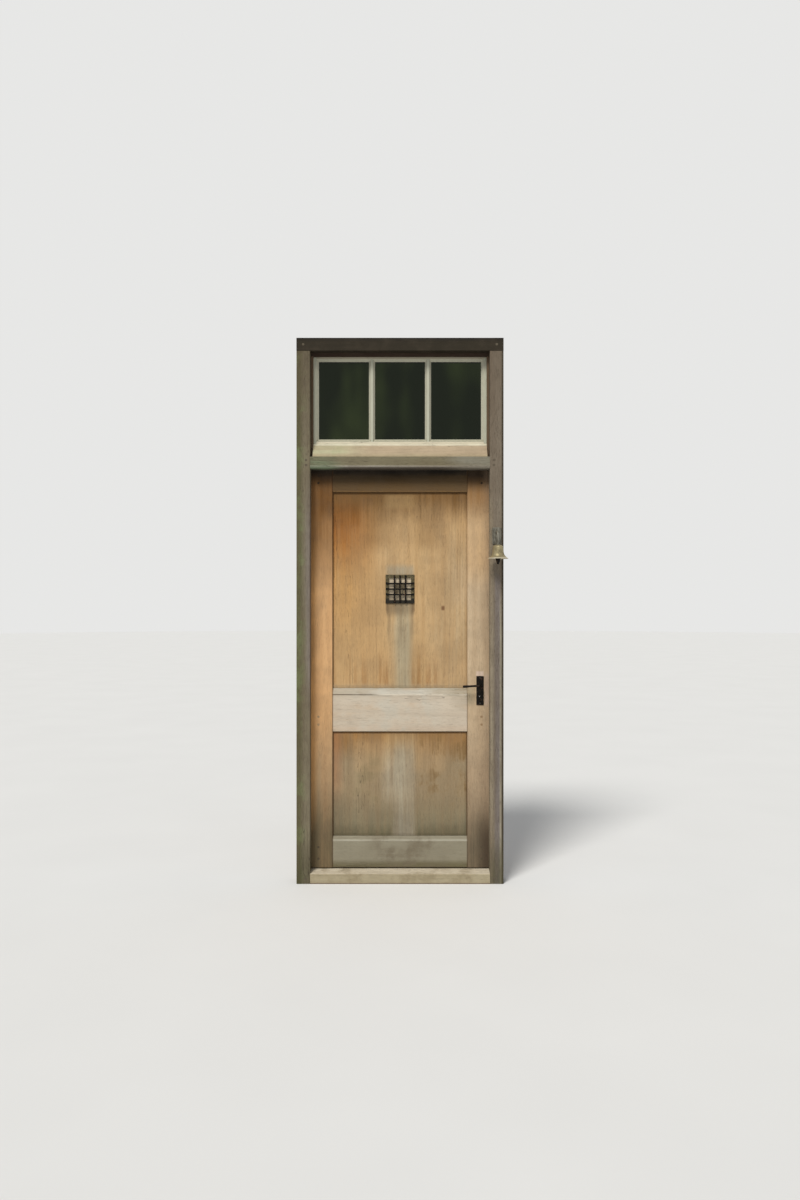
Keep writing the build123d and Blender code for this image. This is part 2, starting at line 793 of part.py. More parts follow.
def stile(side):
    """Upright of the leaf, eased on its inner edges, grooved for the panels and morticed for the rails."""
    section = outline([(half_panel, y_leaf), (half_leaf, y_leaf), (half_leaf, y_back), (half_panel, y_back)])
    section = chamfer(section.vertices().group_by(Axis.X)[0], arris)
    post = Pos(0, 0, leaf_bottom) * extrude(section, leaf_height)
    post -= panel_room(*upper_panel_z)
    post -= panel_room(*lower_panel_z)
    for z in leaf_tenons:
        post -= leaf_tenon(1, z)
    if side < 0:
        post = mirrored(post)
    for hole in leaf_peg_holes(side):
        post -= hole
    return post


def hinge_stile():
    post = stile(-1)
    for middle in hinge_levels.values():
        post -= hinge_gain(1, middle)
    for place in hinge_screw_places(1):
        post -= screw(place, (1, 0, 0), screw_clearance)
    return post


def cut_for_lock(wood):
    """Takes the lock's mortice and its screw holes out of a member, or out of a tenon that they cross."""
    wood -= lock_mortice()
    for place in forend_screw_places():
        wood -= screw(place, (-1, 0, 0), screw_clearance)
    for place in plate_screw_places():
        wood -= screw((place[0], y_leaf, place[1]), (0, 1, 0), screw_clearance)
        wood -= screw((place[0], y_back, place[1]), (0, -1, 0), screw_clearance)
    return wood


def lock_stile():
    return cut_for_lock(stile(1))


def leaf_rail(low, high, slope, tenon_z):
    """Rail between the stiles. slope is the height of the weathering on its upper front edge."""
    points = [(y_leaf + arris, low), (y_back - arris, low), (y_back, low + arris), (y_back, high - arris),
              (y_back - arris, high)]
    if slope > 0:
        points += [(y_panel, high), (y_leaf, high - slope)]
    else:
        points += [(y_leaf + arris, high), (y_leaf, high - arris)]
    points += [(y_leaf, low + arris)]
    rail = along_x(points, -half_panel, half_panel)
    rail -= panel_room(*upper_panel_z)
    rail -= panel_room(*lower_panel_z)
    for side in (-1, 1):
        rail += leaf_tenon(side, tenon_z)
        for hole in leaf_peg_holes(side):
            rail -= hole
    return rail


def panel(z):
    """Board that stands in the grooves, with a narrow bevel round its field on the outer face."""
    inset = groove_depth - panel_play
    x = half_panel + inset
    low = z[0] - groove_depth
    high = z[1] + inset
    board = block((-x, x), (y_panel + field_drop, y_panel + panel_thickness), (low, high))
    middle_z = (z[0] + z[1]) / 2
    width = 2 * half_panel
    height = z[1] - z[0]
    foot = Plane((0, y_panel + field_drop, 0), x_dir=(1, 0, 0), z_dir=(0, -1, 0)) * Pos(0, middle_z) \
        * Rectangle(width, height)
    field = Plane((0, y_panel, 0), x_dir=(1, 0, 0), z_dir=(0, -1, 0)) * Pos(0, middle_z) \
        * Rectangle(width - 2 * field_margin, height - 2 * field_margin)
    return board + loft([foot, field])


def upper_panel():
    half = peep_size / 2
    hole = block((-half, half), (y_panel - 1, y_panel + panel_thickness + 1),
                 (grille_height - half, grille_height + half))
    board = panel(upper_panel_z) - hole
    for x, z in stud_places():
        board -= rod_y(stud_shank_radius + 0.1, y_panel - 1, y_panel + stud_length, x, z)
    return board


# Iron grille on the upper panel

grille_front = y_panel - grille_thickness
bar_pitch = (grille_size - 2 * grille_border) / (grille_bars + 1)
bar_offsets = [(k - (grille_bars - 1) / 2) * bar_pitch for k in range(grille_bars)]
bar_reach = grille_size / 2 - 2.0
stud_ring = grille_size / 2 - grille_border / 2


def stud_places():
    """Each bar is held by a stud at both ends, on the middle line of the border."""
    places = []
    for offset in bar_offsets:
        places += [(offset, grille_height + stud_ring), (offset, grille_height - stud_ring),
                   (stud_ring, grille_height + offset), (-stud_ring, grille_height + offset)]
    return places


def stud_holes(low, high):
    return [rod_y(stud_shank_radius + 0.1, low, high, x, z) for x, z in stud_places()]


def grille_frame():
    """Square iron border, forged from flat bar and bevelled along its outer edge."""
    half = grille_size / 2
    inner = half - grille_border
    plate = block((-half, half), (grille_front, y_panel), (grille_height - half, grille_height + half))
    plate = chamfer(plate.faces().sort_by(Axis.Y)[0].edges(), 2.0)
    plate -= block((-inner, inner), (grille_front - 1, y_panel + 1), (grille_height - inner, grille_height + inner))
    for hole in stud_holes(grille_front - 1, y_panel + 1):
        plate -= hole
    return plate


def lap(offset, upright):
    """The halving that is cut out of a bar where each crossing bar passes."""
    half = grille_bar_width / 2
    middle = grille_front - grille_bar_thickness / 2
    cuts = []
    for other in bar_offsets:
        if upright:
            y = (middle, grille_front + 1)
            cuts.append(block((offset - half - 1, offset + half + 1), y,
                              (grille_height + other - half, grille_height + other + half)))
        else:
            y = (grille_front - grille_bar_thickness - 1, middle)
            cuts.append(block((other - half, other + half), y,
                              (grille_height + offset - half - 1, grille_height + offset + half + 1)))
    return cuts


def grille_bar(offset, upright):
    """Flat bar on the border's face, halved over its crossings and rounded at its ends."""
    half = grille_bar_width / 2
    face = SlotOverall(2 * bar_reach, grille_bar_width, rotation=90 if upright else 0)
    x = offset if upright else 0.0
    z = grille_height + (0.0 if upright else offset)
    plane = Plane((0, grille_front, 0), x_dir=(1, 0, 0), z_dir=(0, -1, 0))
    bar = extrude(plane * Pos(x, z) * face, grille_bar_thickness)
    for cut in lap(offset, upright):
        bar -= cut
    for hole in stud_holes(grille_front - grille_bar_thickness - 1, grille_front + 1):
        bar -= hole
    return bar


def grille_stud(x, z):
    """Domed stud through a bar's end and the border into the panel."""
    seat = grille_front - grille_bar_thickness
    dome = stud_radius * 0.55
    half = make_face(Polyline((0, 0), (stud_radius, 0), (stud_radius * 0.75, dome * 0.75), (0, dome), close=True))
    head = revolve(Plane.XZ * half, Axis.Z)
    head = Plane(origin=(x, seat, z), z_dir=(0, -1, 0)) * head
    return head + rod_y(stud_shank_radius, seat, y_panel + stud_length - 1.0, x, z)


# Hatch behind the opening

hatch_back = y_panel + panel_thickness
hatch_face = hatch_back + hatch_seat_gap + hatch_thickness
half_hatch = hatch_size / 2
hatch_axis_x = -half_hatch - hatch_gap / 2
hatch_axis_y = hatch_face + hatch_knuckle_radius + hatch_seat_gap


def hatch_surround_frame():
    """Thin oak board round the flap, planted on the panel's inner face."""
    outer = half_hatch + hatch_gap + hatch_surround
    inner = half_hatch + hatch_gap
    ring = block((-outer, outer), (hatch_back, hatch_face), (grille_height - outer, grille_height + outer))
    ring = chamfer(ring.faces().sort_by(Axis.Y)[-1].edges(), 3.0)
    ring -= block((-inner, inner), (hatch_back - 1, hatch_face + 1), (grille_height - inner, grille_height + inner))
    return ring


def hatch_flap():
    flap = block((-half_hatch, half_hatch), (hatch_back + hatch_seat_gap, hatch_face),
                 (grille_height - half_hatch, grille_height + half_hatch))
    return flap


def hatch_hinge(side):
    """Small face-fixed hinge: side -1 is the fixed plate with its pin, side 1 the plate on the flap."""
    low = grille_height - hatch_hinge_height / 2
    third = hatch_hinge_height / 3
    start = hatch_gap / 2 + 0.2
    x = (hatch_axis_x - start - hatch_hinge_width, hatch_axis_x - start) if side < 0 \
        else (hatch_axis_x + start, hatch_axis_x + start + hatch_hinge_width)
    plate = block(x, (hatch_face, hatch_face + hatch_hinge_thickness), (low, low + hatch_hinge_height))
    clear = 0.2
    middle = (low + third, low + 2 * third)
    ends = [(low, low + third - clear), (low + 2 * third + clear, low + hatch_hinge_height)]
    spans = ends if side < 0 else [middle]
    others = [(middle[0] - clear, middle[1] + clear)] if side < 0 else \
        [(low - 1, low + third), (low + 2 * third, low + hatch_hinge_height + 1)]
    for z in others:
        plate -= rod_z(hatch_knuckle_radius + 0.4, z[0], z[1], hatch_axis_x, hatch_axis_y)
    for z in spans:
        plate += rod_z(hatch_knuckle_radius, z[0], z[1], hatch_axis_x, hatch_axis_y)
    if side < 0:
        return plate + rod_z(hatch_pin_radius, low, low + hatch_hinge_height, hatch_axis_x, hatch_axis_y)
    return plate - rod_z(hatch_pin_radius + 0.05, low - 1, low + hatch_hinge_height + 1, hatch_axis_x, hatch_axis_y)


def hatch_knob():
    """Small turned knob near the flap's free edge."""
    r = hatch_knob_radius
    h = hatch_knob_height
    profile = make_face(Polyline((0, 0), (r * 0.75, 0), (r * 0.45, h * 0.35), (r, h * 0.65), (r * 0.8, h * 0.92),
                                 (0, h), close=True))
    knob = revolve(Plane.XZ * profile, Axis.Z)
    x = half_hatch - 18.0
    return Plane(origin=(x, hatch_face, grille_height), z_dir=(0, 1, 0)) * knob


# Handles

def plate_screw_places():
    low = spindle_height + plate_above_spindle - plate_height
    return [(lock_x, low + 9.0), (lock_x, spindle_height + plate_above_spindle - 9.0)]


def handle_plate(side):
    """Backplate with a raised middle rib, holes for spindle and key, side -1 outside and 1 inside."""
    seat = y_leaf if side < 0 else y_back
    low = spindle_height + plate_above_spindle - plate_height
    middle_z = low + plate_height / 2
    plane = Plane((0, seat, 0), x_dir=(1, 0, 0), z_dir=(0, side, 0))
    flip = -1 if side > 0 else 1
    base = plane * Pos(lock_x, flip * middle_z) * RectangleRounded(plate_width, plate_height, 3.0)
    plate = extrude(base, plate_thickness)
    outer = plate.faces().sort_by(Axis.Y)[0 if side < 0 else -1]
    plate = chamfer(outer.edges(), 1.5)
    rib_plane = plane.offset(plate_thickness - 0.5)
    rib = rib_plane * Pos(lock_x, flip * middle_z) * SlotOverall(plate_height - 36.0, plate_rib_width, rotation=90)
    plate += extrude(rib, plate_rib_height + 0.5)
    reach = (seat - 20.0, seat + 20.0)
    plate -= rod_y(lever_neck_radius + lever_clearance, reach[0], reach[1], lock_x, spindle_height)
    plate -= keyhole(*reach)
    for x, z in plate_screw_places():
        plate -= screw((x, seat + side * plate_thickness, z), (0, -side, 0), screw_clearance)
    return plate


def lever(side):
    """Boss, neck and drooping grip that thickens towards its tip."""
    seat = y_leaf if side < 0 else y_back
    face = seat + side * (plate_thickness + plate_rib_height + lever_clearance)
    neck_end = seat + side * lever_projection
    tip_x = lock_x - lever_length + 2 * lever_tip_radius
    turn = neck_end - side * lever_bend_radius
    boss = rod_y(lever_boss_radius, min(face, face + side * lever_boss_length),
                 max(face, face + side * lever_boss_length), lock_x, spindle_height)
    boss = chamfer(boss.faces().sort_by(Axis.Y)[0 if side < 0 else -1].edges(), 2.0)
    bend_end = lock_x - lever_bend_radius
    centre = (bend_end, turn, spindle_height)
    start = (lock_x, face + side * 2.0, spindle_height)
    straight = Line(start, (lock_x, turn, spindle_height))
    quarter = RadiusArc((lock_x, turn, spindle_height), (bend_end, neck_end, spindle_height),
                        -side * lever_bend_radius)
    neck_path = Wire([straight, quarter])
    section = Plane(origin=start, z_dir=(0, side, 0)) * Circle(lever_neck_radius)
    neck = sweep(section, path=neck_path)
    reach = bend_end - tip_x
    waist = (lever_waist_radius, lever_waist_place)
    end = reach + lever_tip_radius
    sides = Polyline((0, end), (0, 0), (lever_neck_radius, 0), waist, (lever_tip_radius, reach))
    dome = RadiusArc((lever_tip_radius, reach), (0, end), -lever_tip_radius)
    profile = make_face([*sides.edges(), dome])
    grip = revolve(Plane.XZ * profile, Axis.Z)
    droop = math.radians(lever_droop_angle)
    grip = Plane(origin=(bend_end, neck_end, spindle_height), z_dir=(-math.cos(droop), 0, -math.sin(droop))) * grip
    joint = Pos(bend_end, neck_end, spindle_height) * Sphere(lever_neck_radius)
    spindle_room = spindle_block(0.0)
    return boss + neck + joint + grip - spindle_room


def spindle_block(spare):
    half = spindle_size / 2
    low = y_leaf - plate_thickness - plate_rib_height - lever_boss_length
    high = y_back + plate_thickness + plate_rib_height + lever_boss_length
    return block((lock_x - half, lock_x + half), (low - spare, high + spare),
                 (spindle_height - half, spindle_height + half))


# Bell on the right jamb

bell_x = half_opening + jamb_width / 2
bell_y = y_front - bell_stand_off
bell_top = bell_mouth_z + bell_height
bell_plate_low = bell_top + 5.0
bell_plate_high = bell_plate_low + bell_plate_height
bell_arm_z = bell_plate_high - 24.0
bell_pivot_z = bell_top - 16.0
bell_washer = 1.0
bell_collar_z = (bell_top + bell_washer, bell_top + bell_washer + 4.0)


def bell_screw_places():
    inset = 10.0
    return [(bell_x, y_front, bell_plate_low + inset), (bell_x, y_front, bell_plate_high - inset)]


def bell_bracket():
    """Wrought plate with a round arm that reaches out and turns down over the bell."""
    plane = Plane((0, y_front, 0), x_dir=(1, 0, 0), z_dir=(0, -1, 0))
    middle = (bell_plate_low + bell_plate_high) / 2
    plate = extrude(plane * Pos(bell_x, middle) * RectangleRounded(bell_plate_width, bell_plate_height, 8.0),
                    bell_plate_thickness)
    plate = chamfer(plate.faces().sort_by(Axis.Y)[0].edges(), 1.5)
    start = (bell_x, y_front - bell_plate_thickness / 2, bell_arm_z)
    bend_start = (bell_x, bell_y + bell_arm_bend, bell_arm_z)
    bend_end = (bell_x, bell_y, bell_arm_z - bell_arm_bend)
    foot = (bell_x, bell_y, bell_collar_z[0])
    arc = CenterArc((0, 0), bell_arm_bend, 0, 90)
    plane_arc = Plane((bell_x, bell_y + bell_arm_bend, bell_arm_z - bell_arm_bend), x_dir=(0, -1, 0),
                      z_dir=(-1, 0, 0))
    bend = plane_arc * arc
    path = Wire([Line(start, bend_start), bend, Line(bend_end, foot)])
    section = Plane(origin=start, z_dir=(0, -1, 0)) * Circle(bell_arm_radius)
    arm = sweep(section, path=path)
    collar = rod_z(bell_arm_radius + 2.5, bell_collar_z[0], bell_collar_z[1], bell_x, bell_y)
    whole = plate + arm + collar
    whole -= rod_z(bell_bolt_radius + bell_bolt_clearance, bell_top, bell_collar_z[0] + bell_bolt_entry,
                   bell_x, bell_y)
    for x, y, z in bell_screw_places():
        whole -= screw((x, y - bell_plate_thickness, z), (0, 1, 0), screw_clearance)
    return whole


def bell():
    """Cast bell: a flared lip, a side that leans a little inwards, a rounded shoulder, and a coned inside."""
    waist = (bell_crown_radius + 5.5, bell_height * 0.5)
    shoulder = (bell_crown_radius + 4.0, bell_height * 0.8)
    crown_edge = (bell_crown_radius * 0.55, bell_height)
    lean = (shoulder[0] - waist[0], shoulder[1] - waist[1])
    flare = TangentArc(waist, (bell_mouth_radius, bell_lip), tangent=(-lean[0], -lean[1]))
    turn = TangentArc(shoulder, crown_edge, tangent=lean)
    inner_crown = (shoulder[0] - bell_wall - 2.0, bell_height - bell_wall)
    inner_throat = (waist[0] - bell_wall, bell_height * 0.34)
    inner = Polyline(crown_edge, (0, bell_height), (0, inner_crown[1]), inner_crown, inner_throat,
                     (bell_mouth_radius - bell_wall, 0), (bell_mouth_radius, 0), (bell_mouth_radius, bell_lip))
    profile = make_face([flare, Line(waist, shoulder), turn, *inner.edges()])
    shell = Pos(bell_x, bell_y, bell_mouth_z) * revolve(Plane.XZ * profile, Axis.Z)
    return shell - rod_z(bell_bolt_radius + bell_bolt_clearance, bell_top - 20.0, bell_top + 5.0, bell_x, bell_y)


def bell_bolt():
    """Bolt through the crown, with a nut inside the bell and a fork for the clapper."""
    inner_top = bell_top - bell_wall
    bolt = rod_z(bell_bolt_radius, bell_pivot_z, bell_collar_z[0] + bell_bolt_entry - 0.3, bell_x, bell_y)
    washer = rod_z(bell_nut_radius, bell_top, bell_collar_z[0], bell_x, bell_y)
    fork_width = 12.0
    low = bell_pivot_z - 6.0
    fork = block((bell_x - bell_bolt_radius, bell_x + bell_bolt_radius),
                 (bell_y - fork_width / 2, bell_y + fork_width / 2), (low, inner_top - 1.0))
    slot = clapper_rod_radius + 1.0
    fork -= block((bell_x - 10, bell_x + 10), (bell_y - slot, bell_y + slot), (low - 1, bell_pivot_z + 7.0))
    bolt -= block((bell_x - 10, bell_x + 10), (bell_y - slot, bell_y + slot), (low - 1, bell_pivot_z + 7.0))
    pin = rod_y(clapper_pin_radius, bell_y - fork_width / 2, bell_y + fork_width / 2, bell_x, bell_pivot_z)
    return bolt + washer + fork + pin


def bell_clapper():
    """Eye, thin rod and pear-shaped weight that hangs below the bell's mouth."""
    tip = bell_mouth_z - clapper_drop
    r = clapper_ball_radius
    eye = rod_y(5.0, bell_y - clapper_rod_radius, bell_y + clapper_rod_radius, bell_x, bell_pivot_z)
    shape = [(0, tip), (0.28 * r, tip + 1.0), (0.62 * r, tip + 12.0), (r, tip + 29.0), (0.8 * r, tip + 36.0),
             (clapper_rod_radius, tip + 42.0), (clapper_rod_radius, bell_pivot_z - 2.0), (0, bell_pivot_z - 2.0)]
    weight = revolve(Plane.XZ * make_face(Polyline(*shape, close=True)), Axis.Z)
    clapper = eye + Pos(bell_x, bell_y, 0) * weight
    return clapper - rod_y(clapper_pin_radius + 0.05, bell_y - 10, bell_y + 10, bell_x, bell_pivot_z)


# Write every piece

save(left_jamb(), "left_jamb")
save(right_jamb(), "right_jamb")
save(frame_head(), "frame_head")
save(transom_rail(), "transom_rail")
save(door_sill(), "door_sill")
save(frame_pegs(), "frame_pegs")
save(light_stop(-1), "light_stop_left")
save(light_stop(1), "light_stop_right")
save(light_stop_top(), "light_stop_top")
save(light_sill(), "light_sill")
save(sash_stile(-1), "sash_left_stile")
save(sash_stile(1), "sash_right_stile")
save(sash_rail(sight_top, sash_top, 1, top_tenon_z), "sash_top_rail")
save(sash_rail(sight_bottom, sash_bottom, -1, bottom_tenon_z), "sash_bottom_rail")
save(glazing_bar(-1), "glazing_bar_left")
save(glazing_bar(1), "glazing_bar_right")
for index, place in enumerate(("left", "middle", "right")):
    save(pane(index), "pane_" + place)
save(group(putty(index) for index in range(3)), "glazing_putty")
save(keep_plate(), "keep_plate")
for level, middle in hinge_levels.items():
    save(hinge_plate(-1, middle), "hinge_" + level + "_frame_plate")
    save(hinge_plate(1, middle), "hinge_" + level + "_leaf_plate")
save(group(hinge_pin(middle) for middle in hinge_levels.values()), "hinge_pins")
frame_screw_list = [screw(place, (-1, 0, 0)) for place in hinge_screw_places(-1)]
frame_screw_list += [screw(place, (1, 0, 0)) for place in keep_screw_places()]
frame_screw_list += [screw((x, y - bell_plate_thickness, z), (0, 1, 0)) for x, y, z in bell_screw_places()]
save(group(frame_screw_list), "frame_screws")
leaf_screw_list = [screw(place, (1, 0, 0)) for place in hinge_screw_places(1)]
leaf_screw_list += [screw(place, (-1, 0, 0)) for place in forend_screw_places()]
for x, z in plate_screw_places():
    leaf_screw_list.append(screw((x, y_leaf - plate_thickness, z), (0, 1, 0)))
    leaf_screw_list.append(screw((x, y_back + plate_thickness, z), (0, -1, 0)))
save(group(leaf_screw_list), "leaf_screws")
save(bell_bracket(), "bell_bracket")
save(bell(), "bell")
save(bell_bolt(), "bell_bolt")
save(bell_clapper(), "bell_clapper")
save(hinge_stile(), "hinge_stile")
save(lock_stile(), "lock_stile")
save(leaf_rail(top_rail_bottom, leaf_top, 0, top_leaf_tenon_z), "top_rail")
save(cut_for_lock(leaf_rail(lock_rail_bottom, lock_rail_top, lock_rail_slope, lock_leaf_tenon_z)), "lock_rail")
save(leaf_rail(leaf_bottom, bottom_rail_top, bottom_rail_slope, bottom_leaf_tenon_z), "bottom_rail")
save(upper_panel(), "upper_panel")
save(panel(lower_panel_z), "lower_panel")
save(leaf_pegs(), "leaf_pegs")
save(grille_frame(), "grille_frame")
save(group(grille_bar(offset, True) for offset in bar_offsets), "grille_uprights")
save(group(grille_bar(offset, False) for offset in bar_offsets), "grille_crossbars")
save(group(grille_stud(x, z) for x, z in stud_places()), "grille_studs")
save(hatch_surround_frame(), "hatch_surround")
save(hatch_flap(), "hatch_flap")
save(hatch_hinge(-1), "hatch_hinge_fixed")
save(hatch_hinge(1), "hatch_hinge_moving")
save(hatch_knob(), "hatch_knob")
save(lock_case(), "lock_case")
save(lock_follower(), "lock_follower")
save(latch_bolt(), "latch_bolt")
save(dead_bolt(), "dead_bolt")
save(handle_plate(-1), "outer_plate")
save(handle_plate(1), "inner_plate")
save(lever(-1), "outer_lever")
save(lever(1), "inner_lever")
save(spindle_block(0.0), "spindle")
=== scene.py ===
# %% [markdown]
# # A weathered oak door in its frame
# The door is a frame-and-panel leaf under a fixed light of three panes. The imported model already
# has every board, bar, hinge and bolt at its true size. This lesson loads it and leaves it where
# it is, and then adds what a model in one grey lacks: oak that sun and rain have bleached and
# stained, forged iron, old glass, and the light to see them in.

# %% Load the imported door
import math
import bpy
from mathutils import Matrix, Vector


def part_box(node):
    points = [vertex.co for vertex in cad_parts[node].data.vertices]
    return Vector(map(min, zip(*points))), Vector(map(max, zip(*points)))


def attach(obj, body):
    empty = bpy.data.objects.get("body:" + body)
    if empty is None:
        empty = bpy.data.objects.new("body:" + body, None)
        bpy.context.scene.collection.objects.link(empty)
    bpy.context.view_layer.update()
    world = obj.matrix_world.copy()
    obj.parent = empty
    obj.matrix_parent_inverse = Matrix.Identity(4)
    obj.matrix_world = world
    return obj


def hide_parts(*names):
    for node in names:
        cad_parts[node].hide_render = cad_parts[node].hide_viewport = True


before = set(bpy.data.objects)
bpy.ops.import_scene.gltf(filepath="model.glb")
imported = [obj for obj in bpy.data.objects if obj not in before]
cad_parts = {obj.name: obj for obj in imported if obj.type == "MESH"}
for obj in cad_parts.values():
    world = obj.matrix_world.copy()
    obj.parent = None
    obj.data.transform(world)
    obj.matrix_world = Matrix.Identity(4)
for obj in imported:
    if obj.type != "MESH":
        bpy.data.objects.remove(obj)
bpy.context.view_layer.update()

bpy.ops.object.select_all(action="DESELECT")

# %% [markdown]
# ## Shader sums that read like sums
# A finish is a tree of small nodes. Wired by hand, even "one minus the mask" takes three lines,
# so a small class wraps a socket and lets Python's own operators add the Math nodes. Everything
# else comes from one method that takes a node's type, its settings and what goes into its sockets.

# %% One socket that can be used in a sum
class Wire:
    """A number that flows through a finish, written like a number."""

    def __init__(self, finish, socket):
        self.finish, self.socket = finish, socket

    def other(self, name):
        """Another output of the node that this one leaves."""
        return Wire(self.finish, self.socket.node.outputs[name])

    def _sum(self, operation, first, second=0.0):
        return self.finish.node("ShaderNodeMath", {"operation": operation}, {0: first, 1: second})

    def __add__(self, number):
        return self._sum("ADD", self, number)

    def __sub__(self, number):
        return self._sum("SUBTRACT", self, number)

    def __rsub__(self, number):
        return self._sum("SUBTRACT", number, self)

    def __mul__(self, number):
        return self._sum("MULTIPLY", self, number)

    def __abs__(self):
        return self._sum("ABSOLUTE", self)

    __radd__ = __add__
    __rmul__ = __mul__

    def sine(self):
        return self._sum("SINE", self)

    def larger(self, number):
        return self._sum("MAXIMUM", self, number)

    def fade(self, start, end):
        """0 at start and 1 at end, with a soft turn at both."""
        return self.finish.node("ShaderNodeMapRange", {"interpolation_type": "SMOOTHSTEP"},
                                {"Value": self, "From Min": start, "From Max": end})

    def band(self, middle, half, soft):
        """1 within half of middle, and 0 beyond a soft edge."""
        return abs(self - middle).fade(half + soft, half)


# %% A finish, and the nodes that any finish may want
def shade(red, green, blue):
    """A colour as a paint chart gives it, turned into the linear light that shaders use."""
    def linear(part):
        part /= 255
        return part / 12.92 if part <= 0.04045 else ((part + 0.055) / 1.055) ** 2.4
    return linear(red), linear(green), linear(blue), 1.0


class Finish:
    """A material that is being made. Its x, y and z are metres on the door."""

    def __init__(self, name):
        self.material = bpy.data.materials.new(name)
        self.material.use_nodes = True
        self.tree = self.material.node_tree
        self.shader = self.tree.nodes["Principled BSDF"]
        self.place = self.node("ShaderNodeTexCoord", {}, {}, "Object")
        self.x = self.node("ShaderNodeSeparateXYZ", {}, {0: self.place}, "X")
        self.y, self.z = self.x.other("Y"), self.x.other("Z")

    def node(self, kind, settings, sockets, out=0):
        made = self.tree.nodes.new(kind)
        for key, value in settings.items():
            setattr(made, key, value)
        for key, value in sockets.items():
            self.feed(made.inputs[key], value)
        return Wire(self, made.outputs[out])

    def feed(self, socket, value):
        if isinstance(value, Wire):
            self.tree.links.new(value.socket, socket)
        else:
            socket.default_value = value

    def stretched(self, scale, shift=0.0):
        """The place on the object, squeezed along some axes, so that a pattern comes out long."""
        start = (shift, shift * 0.7, shift * 1.3)
        return self.node("ShaderNodeVectorMath", {"operation": "MULTIPLY_ADD"},
                         {0: self.place, 1: scale, 2: start})

    def noise(self, where, size, detail=2.0, rough=0.5):
        return self.node("ShaderNodeTexNoise", {},
                         {"Vector": where, "Scale": size, "Detail": detail, "Roughness": rough})

    def mix(self, mask, first, second, kind="MIX"):
        return self.node("ShaderNodeMix", {"data_type": "RGBA", "blend_type": kind},
                         {0: mask, 6: first, 7: second}, 2)

    def set(self, **constants):
        """Numbers that are the same all over, set on the shader's own sockets."""
        for key, value in constants.items():
            self.shader.inputs[key.replace("_", " ")].default_value = value

    def connect(self, socket, wire):
        self.feed(self.shader.inputs[socket], wire)

    def bump(self, height, depth):
        """Fine relief: height from 0 to 1, depth in metres."""
        relief = self.node("ShaderNodeBump", {}, {"Height": height, "Distance": depth})
        self.connect("Normal", relief)

    def cover(self, colour, roughness, height, depth, **constants):
        """Everything that a plain finish needs."""
        self.connect("Base Color", colour)
        self.connect("Roughness", roughness)
        self.bump(height, depth)
        self.set(**constants)
